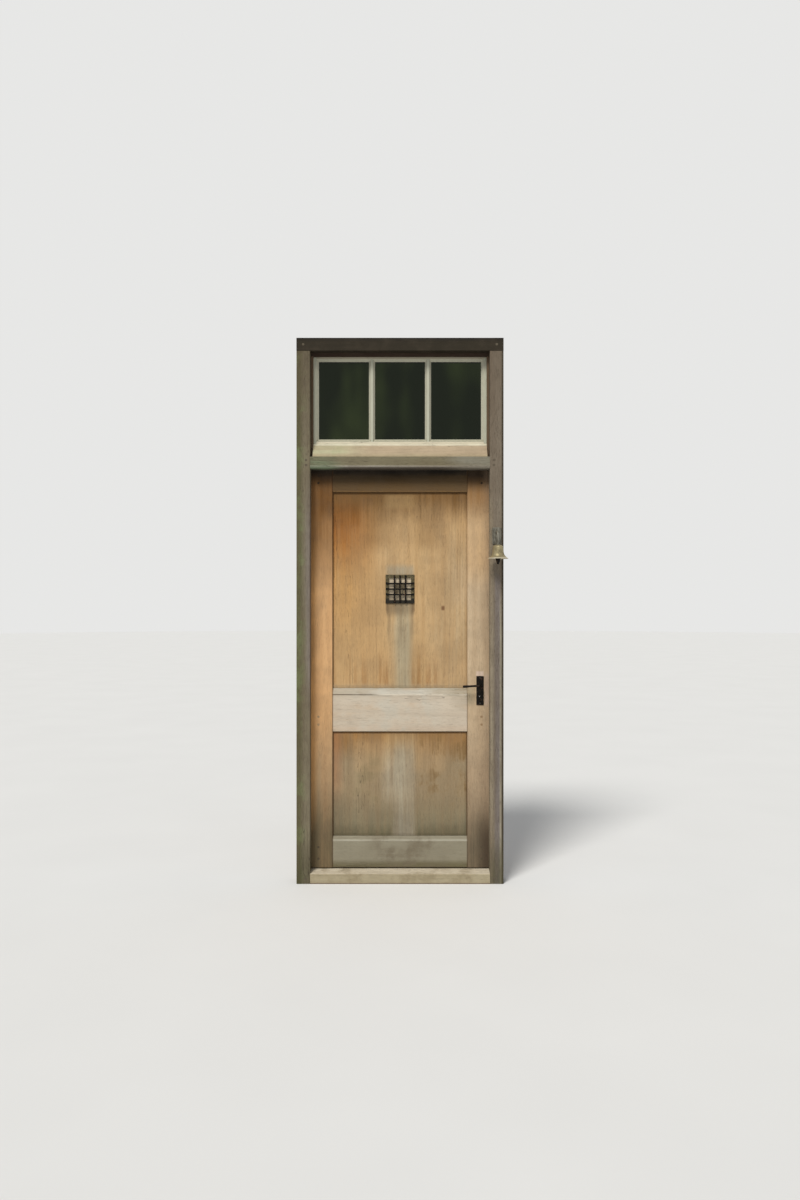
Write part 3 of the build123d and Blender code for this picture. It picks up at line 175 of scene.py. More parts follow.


# %% [markdown]
# ## Oak that has stood outside
# Oak has three scales to look at. Its growth rings draw long tongues a few centimetres wide, its
# fibres are threads under a millimetre, and here and there it has opened in fine checks. All of
# them run along the board, so one set of noises is stretched along the grain. Over that lies what
# weather did, and that follows the door and not the board: rain bleaches a rail's top edge, iron
# bleeds below a grille, and the wood under the transom stays honey coloured. There the tone also
# carries painted shade, which darkens it towards the transom. A picture of oak could be laid on,
# but it would carry one board's weather to every board. So an oak finish has a tone, which is
# painted by place, and a grain, which is laid over the tone at the end.

# %% The oak finish
class Oak(Finish):
    """Oak with a tone that can be stained by place and a grain along one axis."""

    # Depths along y: beyond the first a board looks as it does indoors, before the second weathered.
    indoors_from, outdoors_to = 0.034, 0.022
    # The colour of dirt and painted shade in a joint.
    joint_dirt_and_shade = shade(84, 58, 34)
    ring_brown = (0.085, 0.055, 0.034, 1.0)
    blotch_brown = (0.10, 0.075, 0.05, 1.0)
    check_black = (0.045, 0.032, 0.022, 1.0)

    def __init__(self, name, along, seed, tone, indoors=None):
        super().__init__(name)
        self.tone, self.indoors = tone, indoors
        self.outside = self.y.fade(self.indoors_from, self.outdoors_to)
        squeeze = {"Z": (1.0, 1.0, 0.05), "X": (0.05, 1.0, 1.0)}[along]
        # Each board's noises start at a place of their own, so that no two boards match.
        grain = self.stretched(squeeze, seed * 1.7)
        hills = self.stretched([part * 0.8 for part in squeeze], seed * 2.3)
        cracks = self.noise(self.stretched(squeeze, seed * 3.1), 80.0, 1.0)
        self.rings = (self.noise(hills, 3.4, 1.5) * 260.0).sine().fade(0.1, 1.0)
        self.streaks = self.noise(grain, 38.0, 3.0, 0.6)
        self.fibres = self.noise(grain, 260.0, 3.0, 0.65)
        self.pores = self.noise(grain, 760.0, 1.0).fade(0.60, 0.72)
        self.broad = self.noise(grain, 9.0, 2.0)
        self.blotches = self.noise(self.place, 6.0 + seed * 0.1, 4.0, 0.6)
        self.checks = abs(cracks - 0.5).fade(0.008, 0.002) * self.broad.fade(0.57, 0.68)
        self.soft_streaks = self.streaks.fade(0.32, 0.66)

    def soften(self, mask, threads):
        """A mask that comes and goes in soft threads along the grain."""
        return mask * (self.soft_streaks * threads + (1 - threads))

    def stain(self, mask, strength, colour, threads=0.0, ragged=0.0):
        """Lays a colour over the tone, in threads or with an edge that the grain breaks up."""
        if threads:
            mask = self.soften(mask, threads)
        mask = mask * strength
        if ragged:
            torn = mask + (self.streaks - 0.5) * ragged
            mask = torn.fade(0.15, 0.85) * mask.fade(0.0, 0.12)
        self.tone = self.mix(mask, self.tone, colour)

    def seam(self, mask, strength):
        """Dirt and shade in the joint beside a neighbour."""
        self.stain(mask, strength, self.joint_dirt_and_shade)

    def lay(self, contrast=1.0, relief=0.0007, cracked=0.55):
        """Lays the grain over the tone and wires the shader."""
        if self.indoors:
            worn = self.streaks.fade(0.40, 0.62) * 0.3
            room = self.mix(worn, self.indoors, shade(170, 128, 82))
            self.tone = self.mix(self.outside, room, self.tone)
        soft = (self.streaks * 0.45 + self.broad * 0.4 + self.fibres * 0.3).fade(0.42, 0.72)
        deep = tuple(1 - contrast * part for part in (0.13, 0.17, 0.21)) + (1.0,)
        high = tuple(1 + contrast * part for part in (0.06, 0.06, 0.055)) + (1.0,)
        colour = self.mix(1.0, self.tone, self.mix(soft, deep, high), "MULTIPLY")
        lines = self.rings * self.broad.fade(0.62, 0.38) * 0.22
        lines = lines + self.pores * (self.rings * 0.5 + 0.35)
        colour = self.mix(lines * (0.42 * contrast), colour, self.ring_brown)
        dull = self.blotches.fade(0.60, 0.38) * (0.16 * contrast)
        colour = self.mix(dull, colour, self.blotch_brown)
        colour = self.mix(self.checks * cracked, colour, self.check_black)
        ridges = self.fibres * 0.5 + self.streaks * 0.4
        ridges = ridges - self.rings * 0.1 - self.pores * 0.5 - self.checks * 1.2
        self.cover(colour, self.fibres * 0.18 + 0.66, ridges, relief, Specular_IOR_Level=0.25)


# %% Put a finish on pieces
def dress(finish, *names):
    """Puts a finish on CAD pieces, each of which keeps its mesh."""
    for name in names:
        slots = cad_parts[name].data.materials
        slots.clear()
        slots.append(finish.material)
    print(finish.material.name, "on", ", ".join(names))


# %% [markdown]
# ## The camera
# The photograph was taken square on, from eye height, so the door's edges stay parallel. The
# camera stands 4.8 m in front of the frame's outer face and 1.42 m above the sill's underside. Its
# lens could be found by trial, but the picture gives it: a metre at that distance covers 200 of the
# picture's 1200 pixels of height, so the focal length is 4.8 times 200 pixels.

# %% Set the camera
picture_height, pixels_to_a_metre = 1200, 200
distance, eye_height = 4.8, 1.42
outer_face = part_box("left_jamb")[0].y
camera_data = bpy.data.cameras.new("camera")
camera_data.sensor_fit = "VERTICAL"
camera_data.sensor_height = 36.0
camera_data.lens = camera_data.sensor_height * distance * pixels_to_a_metre / picture_height
camera = bpy.data.objects.new("camera", camera_data)
bpy.context.scene.collection.objects.link(camera)
camera.location = (0.0, outer_face - distance, eye_height)
camera.rotation_euler = (math.radians(90), 0.0, 0.0)
bpy.context.scene.camera = camera
print("lens", round(camera_data.lens, 2), "mm")

# %% [markdown]
# ## Light and floor
# A broad soft light comes from high at the left, as from an open sky. It puts a soft shadow under
# the transom and beside the left jamb. An area light would do the same close by, but it would fall
# off towards the foot of the door, so a sun light with a wide disc is used, which is as bright at
# the foot as at the head. The world fills the rest. A camera ray, a reflection and a ray through
# glass all see the world as near white, so the picture has a pale ground without more light falling
# on the oak. The floor is a plain disc that catches the door's shadow.

# %% Light the door
bpy.context.scene.view_settings.view_transform = "Standard"
world = bpy.data.worlds.new("sky")
bpy.context.scene.world = world
world.use_nodes = True
sky = world.node_tree
rays = sky.nodes.new("ShaderNodeLightPath")
seen = rays.outputs["Is Camera Ray"]
for ray in ("Is Glossy Ray", "Is Transmission Ray"):
    either = sky.nodes.new("ShaderNodeMath")
    either.operation = "MAXIMUM"
    sky.links.new(seen, either.inputs[0])
    sky.links.new(rays.outputs[ray], either.inputs[1])
    seen = either.outputs[0]
sky_on_oak, sky_seen = (0.37, 0.38, 0.39, 1.0), (0.80, 0.80, 0.79, 1.0)
level = sky.nodes.new("ShaderNodeMix")
level.data_type = "RGBA"
level.inputs[6].default_value = sky_on_oak
level.inputs[7].default_value = sky_seen
sky.links.new(seen, level.inputs[0])
sky.links.new(level.outputs[2], sky.nodes["Background"].inputs["Color"])

key_data = bpy.data.lights.new("key_light", "SUN")
key_data.angle = math.radians(18)
key_data.energy = 2.65
key_data.color = (1.0, 0.975, 0.93)
key_light = bpy.data.objects.new("key_light", key_data)
bpy.context.scene.collection.objects.link(key_light)
key_light.location = (-2.2, -4.6, 7.6)
door_middle = Vector((0.0, 0.0, 1.35))
towards_door = door_middle - key_light.location
key_light.rotation_euler = towards_door.to_track_quat("-Z", "Y").to_euler()
print("one light of", key_data.energy, "W per square metre")

# %% Lay the floor
bpy.ops.object.select_all(action="DESELECT")
bpy.ops.mesh.primitive_circle_add(vertices=64, radius=40.0, fill_type="NGON",
                                  location=(0.0, 0.0, 0.0))
floor = bpy.context.object
floor.name = "floor"
floor_paint = Finish("floor_paint")
floor_clouds = floor_paint.noise(floor_paint.place, 1.5)
floor_dull, floor_bright = (0.74, 0.74, 0.73, 1), (0.78, 0.78, 0.77, 1)
floor_paint.connect("Base Color", floor_paint.mix(floor_clouds, floor_dull, floor_bright))
floor_paint.set(Roughness=0.9, Specular_IOR_Level=0.1)
floor.data.materials.append(floor_paint.material)
print("floor of", round(floor.dimensions.x), "m across")

# %% [markdown]
# ## The leaf's long panel
# The upper panel shows most of the weather. It is honey coloured at the left, dark near its top,
# where painted shade from the transom lies over the honey colour, and paler and drier towards the
# lock side. One gradient from top to bottom would look sprayed on, so every stain is a mask of where
# it lies across and up the door, with a strength and a colour, and most of them come and go in
# threads along the grain.

# %% Stain the upper panel
sheltered_leaf = shade(190, 150, 104)
panel = Oak("oak_upper_panel", "Z", 3, shade(196, 162, 116), sheltered_leaf)
x, z = panel.x, panel.z
dry_side = x.fade(0.02, 0.30) * z.fade(1.95, 1.55)
panel.stain(dry_side, 0.75, shade(190, 166, 130), threads=0.6)
honey_side = x.fade(-0.04, -0.32) * z.fade(1.00, 1.50)
panel.stain(honey_side, 0.7, shade(188, 140, 80), threads=0.4)
honey_corner = x.fade(-0.06, -0.28) * z.fade(1.46, 1.80)
panel.stain(honey_corner, 1.0, shade(156, 98, 38), threads=0.3)
# Darker towards the top: sheltered honey wood with painted shade from the transom over it.
panel.stain(z.fade(1.70, 1.97), 0.75, shade(114, 82, 42), ragged=0.5)
dry_patch = x.band(-0.03, 0.04, 0.08) * z.band(1.66, 0.06, 0.16)
panel.stain(dry_patch, 0.2, shade(206, 180, 144), threads=0.6)
print(panel.material.name, "is up to", len(panel.tree.nodes), "nodes")

# %% Add its dark and pale patches
# A band of painted shade under the transom, weaker in the middle, and a darker painted corner at the
# left.
dark_patch = x.band(0.01, 0.14, 0.10) * z.band(1.775, 0.045, 0.09)
dark_patch = dark_patch * (1 - x.band(0.025, 0.030, 0.060) * 0.6)
panel.stain(dark_patch, 0.45, shade(112, 78, 36), threads=0.3)
darkest_corner = x.fade(-0.15, -0.24) * z.band(1.85, 0.03, 0.06)
panel.stain(darkest_corner, 0.45, shade(104, 62, 14), threads=0.3)
pale_top = x.band(0.0, 0.05, 0.05) * z.band(1.92, 0.02, 0.03)
panel.stain(pale_top, 0.45, shade(176, 146, 100), threads=0.3)
pale_edge = x.fade(0.24, 0.30) * z.band(1.50, 0.06, 0.07)
panel.stain(pale_edge, 0.5, shade(208, 180, 142), threads=0.3)
print(panel.material.name, "is up to", len(panel.tree.nodes), "nodes")

# %% [markdown]
# ## What the grille does to the panel
# Rain off the grille has washed a grey streak down the middle, with a fainter one round it. Thin
# dark runs start at the iron's corners, and beside the wash tannin has drawn brown threads at the
# foot. They could be modelled as runs of dirt, but nobody could feel them on the real door, so they
# are stains too, placed by the grille that they come from.

# %% Wash it with what the iron sheds
drift = x + (panel.streaks - 0.5) * 0.030
wide = panel.soften(drift.band(0.006, 0.020, 0.066) * z.fade(1.42, 1.25), 0.45)
wash = panel.soften(x.band(0.020, 0.020, 0.034) * z.fade(1.46, 1.40), 0.30)
for mask, strength in ((wide, 0.55), (wash, 0.85)):
    panel.stain(mask, strength, shade(177, 165, 137))
over_grille = x.band(0.0, 0.055, 0.025) * z.band(1.566, 0.008, 0.040)
panel.stain(over_grille, 0.85, shade(166, 156, 134), threads=0.3)
behind_grille = x.band(0.0, 0.058, 0.004) * z.band(1.475, 0.058, 0.004)
panel.stain(behind_grille, 0.75, shade(222, 210, 186))
under_grille = x.band(0.0, 0.064, 0.010) * z.band(1.388, 0.018, 0.050)
panel.stain(under_grille, 0.75, shade(116, 102, 80), threads=0.5)
for corner in (-0.064, 0.068):
    run = x.band(corner, 0.003, 0.010) * z.band(1.385, 0.01, 0.035)
    panel.stain(run, 0.7, shade(104, 82, 58), threads=0.6)
for thread in (-0.056, 0.004, 0.060):
    run = x.band(thread, 0.002, 0.012) * z.band(1.33, 0.05, 0.12)
    panel.stain(run, 0.5, shade(130, 108, 78), threads=0.6)
print(panel.material.name, "is up to", len(panel.tree.nodes), "nodes")

# %% Draw the tannin, the knot and the seams
tannin = z.fade(1.26, 1.00) * panel.streaks.fade(0.40, 0.66) * panel.broad.fade(0.34, 0.56)
panel.stain(tannin * (1 - wash), 0.75, shade(156, 114, 68))
beside_wash = x.band(0.095, 0.020, 0.030) * z.fade(1.30, 1.06)
panel.stain(beside_wash, 0.45, shade(154, 120, 76), threads=0.5)
panel.stain(z.fade(1.005, 0.976), 0.5, shade(184, 168, 140), threads=0.6)
knot = x.band(0.218, 0.004, 0.008) * z.band(1.379, 0.005, 0.012)
panel.stain(knot, 0.8, shade(112, 72, 44))
# The joints, and the strip under the top rail, get dirt and painted shade.
panel.seam(x.fade(-0.331, -0.341).larger(z.fade(1.954, 1.966)), 0.55)
panel.seam(x.fade(0.334, 0.341), 0.25)
panel.lay()
dress(panel, "upper_panel")

# %% [markdown]
# ## The rails of the leaf
# The lock rail has a weathering on its upper edge that throws rain off, so it is the palest board
# on the leaf. The top rail never gets wet, and painted shade makes it nearly black at the transom.
# The bottom rail takes the splash from the ground and turns grey. Their grain runs across. One
# finish could turn its grain by place, but each rail is a piece of its own, so it gets an oak of
# its own, and the joint beside it only needs a little dirt and painted shade.

# %% Finish the lock rail
lock_rail = Oak("oak_lock_rail", "X", 5, shade(203, 190, 171), sheltered_leaf)
x, z = lock_rail.x, lock_rail.z
lock_rail.stain(z.fade(0.925, 0.948), 0.9, shade(170, 161, 142), threads=0.4)
lock_rail.stain(x.band(0.0, 0.10, 0.10) * z.band(0.952, 0.006, 0.012), 0.6, shade(206, 202, 190))
lock_rail.stain(z.fade(0.80, 0.755), 0.45, shade(198, 172, 146), threads=0.4)
lock_rail.stain(x.fade(0.20, 0.34) * z.fade(0.84, 0.93), 0.6, shade(150, 136, 110), threads=0.6)
lock_rail.stain(z.band(0.941, 0.0015, 0.003) * x.fade(-0.08, -0.16), 0.75, shade(88, 72, 54))
lock_rail.stain(z.band(0.940, 0.002, 0.004) * x.band(0.27, 0.02, 0.03), 0.7, shade(112, 104, 78))
lock_rail.stain(z.band(0.9405, 0.002, 0.004) * x.fade(-0.16, -0.08), 0.5, shade(222, 212, 194))
lock_rail.stain(z.fade(0.762, 0.756), 0.6, shade(214, 200, 178))
cool = lock_rail.blotches.fade(0.46, 0.60) * x.band(-0.02, 0.12, 0.16)
lock_rail.stain(cool, 0.45, shade(186, 184, 172))
warm = lock_rail.blotches.fade(0.50, 0.40) * lock_rail.streaks.fade(0.44, 0.60)
lock_rail.stain(warm, 0.35, shade(206, 180, 150))
lock_rail.seam(abs(x).fade(0.335, 0.341), 0.45)
lock_rail.lay(0.6)
dress(lock_rail, "lock_rail")

# %% Finish the top and bottom rails
# The dark tone and the two stains towards the top are painted shade from the transom, nearly black
# at the top.
top_rail = Oak("oak_top_rail", "X", 8, shade(98, 76, 46), sheltered_leaf)
x, z = top_rail.x, top_rail.z
top_rail.stain(z.fade(1.985, 2.05), 0.9, shade(42, 30, 8), threads=0.3)
top_rail.stain(z.fade(2.040, 2.066), 0.85, shade(10, 6, 2))
top_rail.stain(z.band(1.969, 0.0015, 0.003), 0.4, shade(150, 116, 72))
top_rail.seam(abs(x).fade(0.335, 0.341), 0.5)
top_rail.lay(0.9)
dress(top_rail, "top_rail")

bottom_rail = Oak("oak_bottom_rail", "X", 11, shade(143, 137, 118), sheltered_leaf)
x, z = bottom_rail.x, bottom_rail.z
bottom_rail.stain(z.fade(0.13, 0.07), 0.8, shade(108, 101, 76), ragged=0.5)
bottom_rail.stain(z.band(0.204, 0.002, 0.005), 0.6, shade(178, 174, 158))
smudge = x.band(0.03, 0.10, 0.16) * bottom_rail.blotches.fade(0.40, 0.60)
bottom_rail.stain(smudge, 0.75, shade(112, 102, 84))
bottom_rail.seam(abs(x).fade(0.334, 0.341), 0.5)
bottom_rail.lay(0.7)
dress(bottom_rail, "bottom_rail")

# %% [markdown]
# ## The stiles of the leaf
# A stile runs past every rail, so it has the whole door's weather on one board: honey coloured
# under the transom and grey at the foot, with painted shade that turns it nearly black at the
# transom. The hinge stile has a strip of painted light along its outer edge, which evens out the
# shadow that the left post throws on it. The lock stile also has a clean patch above the handle
# plate and a grey one under the lever. One colour ramp up the board could hold all this, but then
# each colour would end at one height in a straight line. Stains that overlap, and that are softened
# along the grain, don't.

# %% Finish the hinge stile
hinge_stile = Oak("oak_hinge_stile", "Z", 14, shade(212, 169, 121), sheltered_leaf)
x, z = hinge_stile.x, hinge_stile.z
hinge_stile.stain(z.fade(0.88, 0.50), 0.9, shade(160, 138, 108), threads=0.3)
# A lighter strip along the outer edge is painted light, which evens out the shadow that the left
# post throws on the stile.
hinge_stile.stain(x.fade(-0.41, -0.45), 0.8, shade(232, 172, 104), threads=0.3)
hinge_stile.stain(z.fade(0.60, 0.20), 0.95, shade(92, 82, 60), threads=0.3)
# The three stains towards the top are sheltered honey wood with painted shade from the transom over
# it, nearly black at the top. The inner part takes more of it, because the outer part already lies
# in the left post's shadow.
hinge_stile.stain(z.fade(1.40, 1.80), 0.9, shade(120, 82, 38), threads=0.3)
darker_inside = x.fade(-0.412, -0.395) * 0.45 + 0.5
hinge_stile.stain(z.fade(1.78, 1.90), darker_inside, shade(104, 68, 26), threads=0.2)
hinge_stile.stain(z.fade(1.975, 2.072), 0.97, shade(18, 10, 3))
hinge_stile.seam(x.fade(-0.3455, -0.341), 0.55)
hinge_stile.lay()
dress(hinge_stile, "hinge_stile")

# %% Finish the lock stile
lock_stile = Oak("oak_lock_stile", "Z", 17, shade(197, 174, 143), sheltered_leaf)
x, z = lock_stile.x, lock_stile.z
lock_stile.stain(z.fade(1.45, 1.62), 0.75, shade(212, 176, 130), threads=0.3)
# The next two stains are painted shade from the transom, nearly black at the top.
lock_stile.stain(z.fade(1.78, 1.95), 0.95, shade(146, 108, 64), threads=0.2)
lock_stile.stain(z.fade(1.93, 2.06), 0.97, shade(34, 22, 8))
lock_stile.stain(z.fade(0.95, 0.50), 0.8, shade(158, 136, 110), threads=0.4)
lock_stile.stain(z.fade(0.55, 0.16), 0.98, shade(92, 83, 66), threads=0.25)
lock_stile.stain(x.fade(0.40, 0.455), 0.55, shade(146, 126, 104), threads=0.5)
lock_stile.stain(x.fade(0.370, 0.440) * z.fade(0.42, 0.20), 0.8, shade(62, 50, 38))
above_plate = x.band(0.404, 0.012, 0.012) * z.band(1.046, 0.008, 0.010)
lock_stile.stain(above_plate, 0.75, shade(222, 200, 184))
beside_plate = x.band(0.438, 0.008, 0.006) * z.band(0.965, 0.06, 0.04)
lock_stile.stain(beside_plate, 0.6, shade(182, 164, 154), threads=0.3)
under_lever = x.fade(0.388, 0.372) * z.band(0.935, 0.03, 0.03)
lock_stile.stain(under_lever, 0.55, shade(148, 140, 116), threads=0.4)
lock_stile.seam(x.fade(0.3455, 0.341), 0.2)
lock_stile.lay(0.85)
dress(lock_stile, "lock_stile")

# %% [markdown]
# ## The lower panel
# It is honey coloured only in the dry strip under the lock rail. Below that it goes grey, with the
# tail of the grille's wash down its middle, brown flames at the right, and a dark tide line where
# rain stands on the bottom rail. The masks could be added up first, but a stain that is mixed over
# the earlier ones hides them as the real one does, so the wash and the tide line come last.

# %% Finish the lower panel
lower_panel = Oak("oak_lower_panel", "Z", 20, shade(156, 137, 107), sheltered_leaf)
x, z = lower_panel.x, lower_panel.z
lower_panel.stain(z.fade(0.58, 0.72), 0.9, shade(156, 114, 62), threads=0.35)
both_sides = abs(x).band(0.13, 0.07, 0.06) * z.band(0.63, 0.05, 0.06)
lower_panel.stain(both_sides, 0.5, shade(190, 158, 116), threads=0.4)
middle = x.band(0.01, 0.04, 0.08) * z.band(0.67, 0.05, 0.08)
lower_panel.stain(middle, 0.7, shade(180, 152, 110), threads=0.5)
pale_patch = x.band(-0.010, 0.030, 0.080) * z.band(0.52, 0.05, 0.15)
lower_panel.stain(pale_patch, 0.75, shade(178, 167, 145), threads=0.3)
clouds = lower_panel.blotches
flame = lower_panel.streaks.fade(0.38, 0.62) * clouds.fade(0.42, 0.60) * z.band(0.58, 0.10, 0.16)
lower_panel.stain(flame * x.fade(0.06, 0.12), 0.9, shade(124, 98, 62))
dull_cloud = clouds.fade(0.48, 0.66) * x.band(-0.17, 0.05, 0.10) * z.band(0.50, 0.10, 0.14)
lower_panel.stain(dull_cloud, 0.5, shade(132, 118, 88))
lower_panel.stain(z.fade(0.50, 0.24), 0.9, shade(116, 110, 88), threads=0.35)
print(lower_panel.material.name, "is up to", len(lower_panel.tree.nodes), "nodes")

# %% Draw its wash, its edges and its tide line
upper_tail = x.band(0.022, 0.026, 0.044) * z.fade(0.75, 0.62)
lower_panel.stain(upper_tail, 0.7, shade(170, 160, 138), threads=0.35)
lower_tail = x.band(0.018, 0.024, 0.044) * z.fade(0.42, 0.26)
lower_panel.stain(lower_tail, 0.7, shade(138, 132, 116), threads=0.35)
warm_edge = x.fade(-0.27, -0.335) * z.fade(0.35, 0.55)
lower_panel.stain(warm_edge, 0.6, shade(172, 118, 80), threads=0.4)
damp_edge = x.fade(-0.26, -0.335) * z.fade(0.50, 0.36)
lower_panel.stain(damp_edge, 0.5, shade(102, 90, 70), threads=0.4)
tide_line = z.fade(0.300, 0.230) * (1 - x.band(0.022, 0.05, 0.03))
lower_panel.stain(tide_line, 0.65, shade(92, 86, 62), threads=0.4)
# The joints, and the strip under the lock rail, get dirt and painted shade.
lower_panel.seam(abs(x).fade(0.332, 0.341).larger(z.fade(0.738, 0.752)), 0.75)
lower_panel.lay()
dress(lower_panel, "lower_panel")

# %% [markdown]
# ## The frame
# The frame never gets oiled, so it has gone mauve grey, with dark edges where it stays wet, a
# painted shadow line along the right post's outer edge, and lichen on the outer half of the left
# post. Its head is sheltered and has stayed dark, and painted shade, as from a lintel above,
# darkens it further and the tops of the posts too. It could share the leaf's oaks, but it looks
# rougher and more furrowed than the leaf, so each part has an oak of its own, laid on the posts
# with more contrast, deeper relief and more open checks.

# %% Finish the post on the hinge side
sheltered_frame = shade(160, 130, 94)
left_post = Oak("oak_left_jamb", "Z", 23, shade(120, 112, 92), sheltered_frame)
x, z = left_post.x, left_post.z
mauve = x.fade(-0.485, -0.455) * z.band(1.45, 0.35, 0.30)
left_post.stain(mauve, 0.6, shade(134, 126, 124), threads=0.4)
left_post.stain(x.fade(-0.476, -0.505), 0.85, shade(80, 82, 46), threads=0.4)
# Darker towards the top: painted shade under the head.
left_post.stain(z.fade(2.10, 2.62), 0.75, shade(84, 74, 56), threads=0.4)
lichen = left_post.blotches.fade(0.50, 0.64) * x.fade(-0.455, -0.50)
left_post.stain(lichen, 0.55, shade(112, 120, 84))
left_post.stain(z.fade(0.30, 0.04), 0.75, shade(68, 68, 44), threads=0.4)
left_post.lay(1.35, 0.0014, 0.85)
dress(left_post, "left_jamb")

# %% Finish the post that holds the bell
right_post = Oak("oak_right_jamb", "Z", 26, shade(122, 112, 98), sheltered_frame)
x, z = right_post.x, right_post.z
inner_edge = x.fade(0.476, 0.455) * z.fade(2.05, 1.8)
right_post.stain(inner_edge, 0.7, shade(152, 141, 120), threads=0.4)
# Darker towards the top: painted shade under the head.
right_post.stain(z.fade(2.0, 2.5), 0.45, shade(94, 80, 64), threads=0.4)
under_bell = x.band(0.489, 0.008, 0.012) * z.fade(1.58, 1.50)
right_post.stain(under_bell, 0.7, shade(116, 110, 110), threads=0.4)
# A pale line near the outer edge: a painted highlight on the outer arris.
pale_line = x.band(0.503, 0.003, 0.004) * z.fade(1.50, 1.34)
right_post.stain(pale_line, 0.7, shade(160, 154, 134), threads=0.5)
# The outer edge darkens into a painted shadow line where the post meets the wall.
right_post.stain(x.fade(0.505, 0.512), 0.9, shade(50, 43, 30))
right_post.stain(z.fade(0.30, 0.04), 0.75, shade(72, 72, 48), threads=0.4)
right_post.lay(1.35, 0.0014, 0.85)
dress(right_post, "right_jamb")

# %% Finish the head, the stops, the transom and the sill
# The head's dark tone and its darker top are sheltered wood with painted shade over it, as from a
# lintel above.
head = Oak("oak_head", "X", 29, shade(42, 36, 24), sheltered_frame)
head.stain(head.z.fade(2.70, 2.73), 0.6, shade(24, 20, 16), ragged=0.3)
head.lay(0.9)
dress(head, "frame_head")
# The top stop's tone is much darker than the side stops': painted shade under the head.
for name, along, seed, tone, pieces in (
        ("oak_stops", "X", 31, shade(56, 42, 32), ("light_stop_top",)),
        ("oak_side_stops", "Z", 33, shade(104, 86, 66), ("light_stop_left", "light_stop_right"))):
    stop = Oak(name, along, seed, tone)
    stop.lay(0.9)
    dress(stop, *pieces)

transom = Oak("oak_transom", "X", 35, shade(122, 115, 92), sheltered_frame)
x, z = transom.x, transom.z
transom.stain(z.fade(2.097, 2.090), 0.85, shade(146, 140, 128), ragged=0.2)
# A dark line along the lowest edge: painted shade under the transom's overhang.
transom.stain(z.fade(2.089, 2.083), 0.8, shade(40, 31, 22))
transom.stain(x.fade(-0.22, -0.38), 0.5, shade(104, 118, 92), ragged=0.6)
transom.stain(x.fade(0.10, 0.34), 0.6, shade(134, 131, 118), ragged=0.4)
transom.lay(1.1, 0.0012, 0.8)
dress(transom, "transom_rail")

door_sill = Oak("oak_sill", "X", 37, shade(172, 161, 134), sheltered_frame)
door_sill.stain(door_sill.z.fade(0.047, 0.051), 0.9, shade(203, 193, 172), ragged=0.2)
door_sill.stain(door_sill.blotches.fade(0.46, 0.68), 0.6, shade(128, 114, 88), threads=0.5)
door_sill.seam(door_sill.z.fade(0.007, 0.002), 0.8)
door_sill.lay(0.8, 0.0010)
dress(door_sill, "door_sill")

# %% [markdown]
# ## The light over the door
# The sash is paler than the frame, because it and the putty that beds its panes were painted
# together. It could be a plain coat of paint, but the paint is thin by now and the grain shows
# faintly, so it is oak with little contrast. Its stiles and bars have a darker tone than its rails,
# and all of it darkens towards the top: painted shade on the one paint. Rain runs off over the
# sloping board below it, and algae have started at that board's left end. That board's top edge
# carries a painted highlight.

# %% Finish the sash and its sloping sill
rain_board = Oak("oak_rain_board", "X", 39, shade(180, 162, 136))
x, z = rain_board.x, rain_board.z
rain_board.stain(x.fade(-0.12, -0.34), 0.75, shade(182, 182, 148), threads=0.4)
algae = rain_board.blotches.fade(0.50, 0.64) * x.fade(-0.22, -0.38)
rain_board.stain(algae, 0.5, shade(128, 140, 100))
rain_board.stain(z.fade(2.17, 2.142), 0.6, shade(170, 156, 126), ragged=0.5)
# A pale line along the top edge: a painted highlight.
rain_board.stain(z.fade(2.196, 2.202), 0.8, shade(216, 211, 188))
rain_board.lay(0.8)
dress(rain_board, "light_sill")

# The stiles and bars have a darker tone than the rails: painted shade on the one paint. Both
# finishes darken towards the top with painted shade under the head.
sash = Oak("oak_sash", "Z", 41, shade(186, 187, 168))
sash.stain(sash.z.fade(2.62, 2.67), 0.7, shade(158, 152, 130), ragged=0.3)
sash.lay(0.35, 0.0005)
dress(sash, "sash_left_stile", "sash_right_stile", "glazing_bar_left", "glazing_bar_right")
sash_rails = Oak("oak_sash_rails", "X", 43, shade(214, 206, 184))
sash_rails.stain(sash_rails.z.fade(2.60, 2.64), 0.6, shade(158, 152, 130), ragged=0.3)
sash_rails.lay(0.35, 0.0005)
dress(sash_rails, "sash_top_rail", "sash_bottom_rail")

# %% Finish the putty
putty = Finish("painted_putty")
crazing = putty.noise(putty.place, 120.0, 3.0)
# The fillets along the bottom rail are darker than the upright ones: painted shade.
upright = putty.z.fade(2.226, 2.236)
painted = putty.mix(upright, shade(150, 147, 122), shade(172, 170, 150))
chalky = putty.mix(crazing.fade(0.30, 0.66) * 0.2, painted, shade(214, 208, 190))
putty.cover(chalky, 0.6, crazing, 0.0004)
dress(putty, "glazing_putty")

# %% [markdown]
# ## The panes
# Old panes look nearly black from outside by day, because the room behind them is dark. They could
# be clear, with a dark box behind them, but from indoors they have to show daylight. So the glass
# itself is tinted a deep green with a slow haze, painted shade that stands for the dark room, and it
# ripples a little, as drawn glass does.

# %% Glaze the light
glass = Finish("old_glass")
ripple = glass.noise(glass.place, 9.0, 1.0)
haze = glass.noise(glass.stretched((1.0, 1.0, 0.45)), 4.5, 2.0).fade(0.42, 0.72)
tint = glass.mix(haze, (0.007, 0.011, 0.004, 1.0), (0.028, 0.040, 0.012, 1.0))
glass.cover(tint, 0.02, ripple, 0.0006, Transmission_Weight=1.0, IOR=1.27)
dress(glass, "pane_left", "pane_middle", "pane_right")

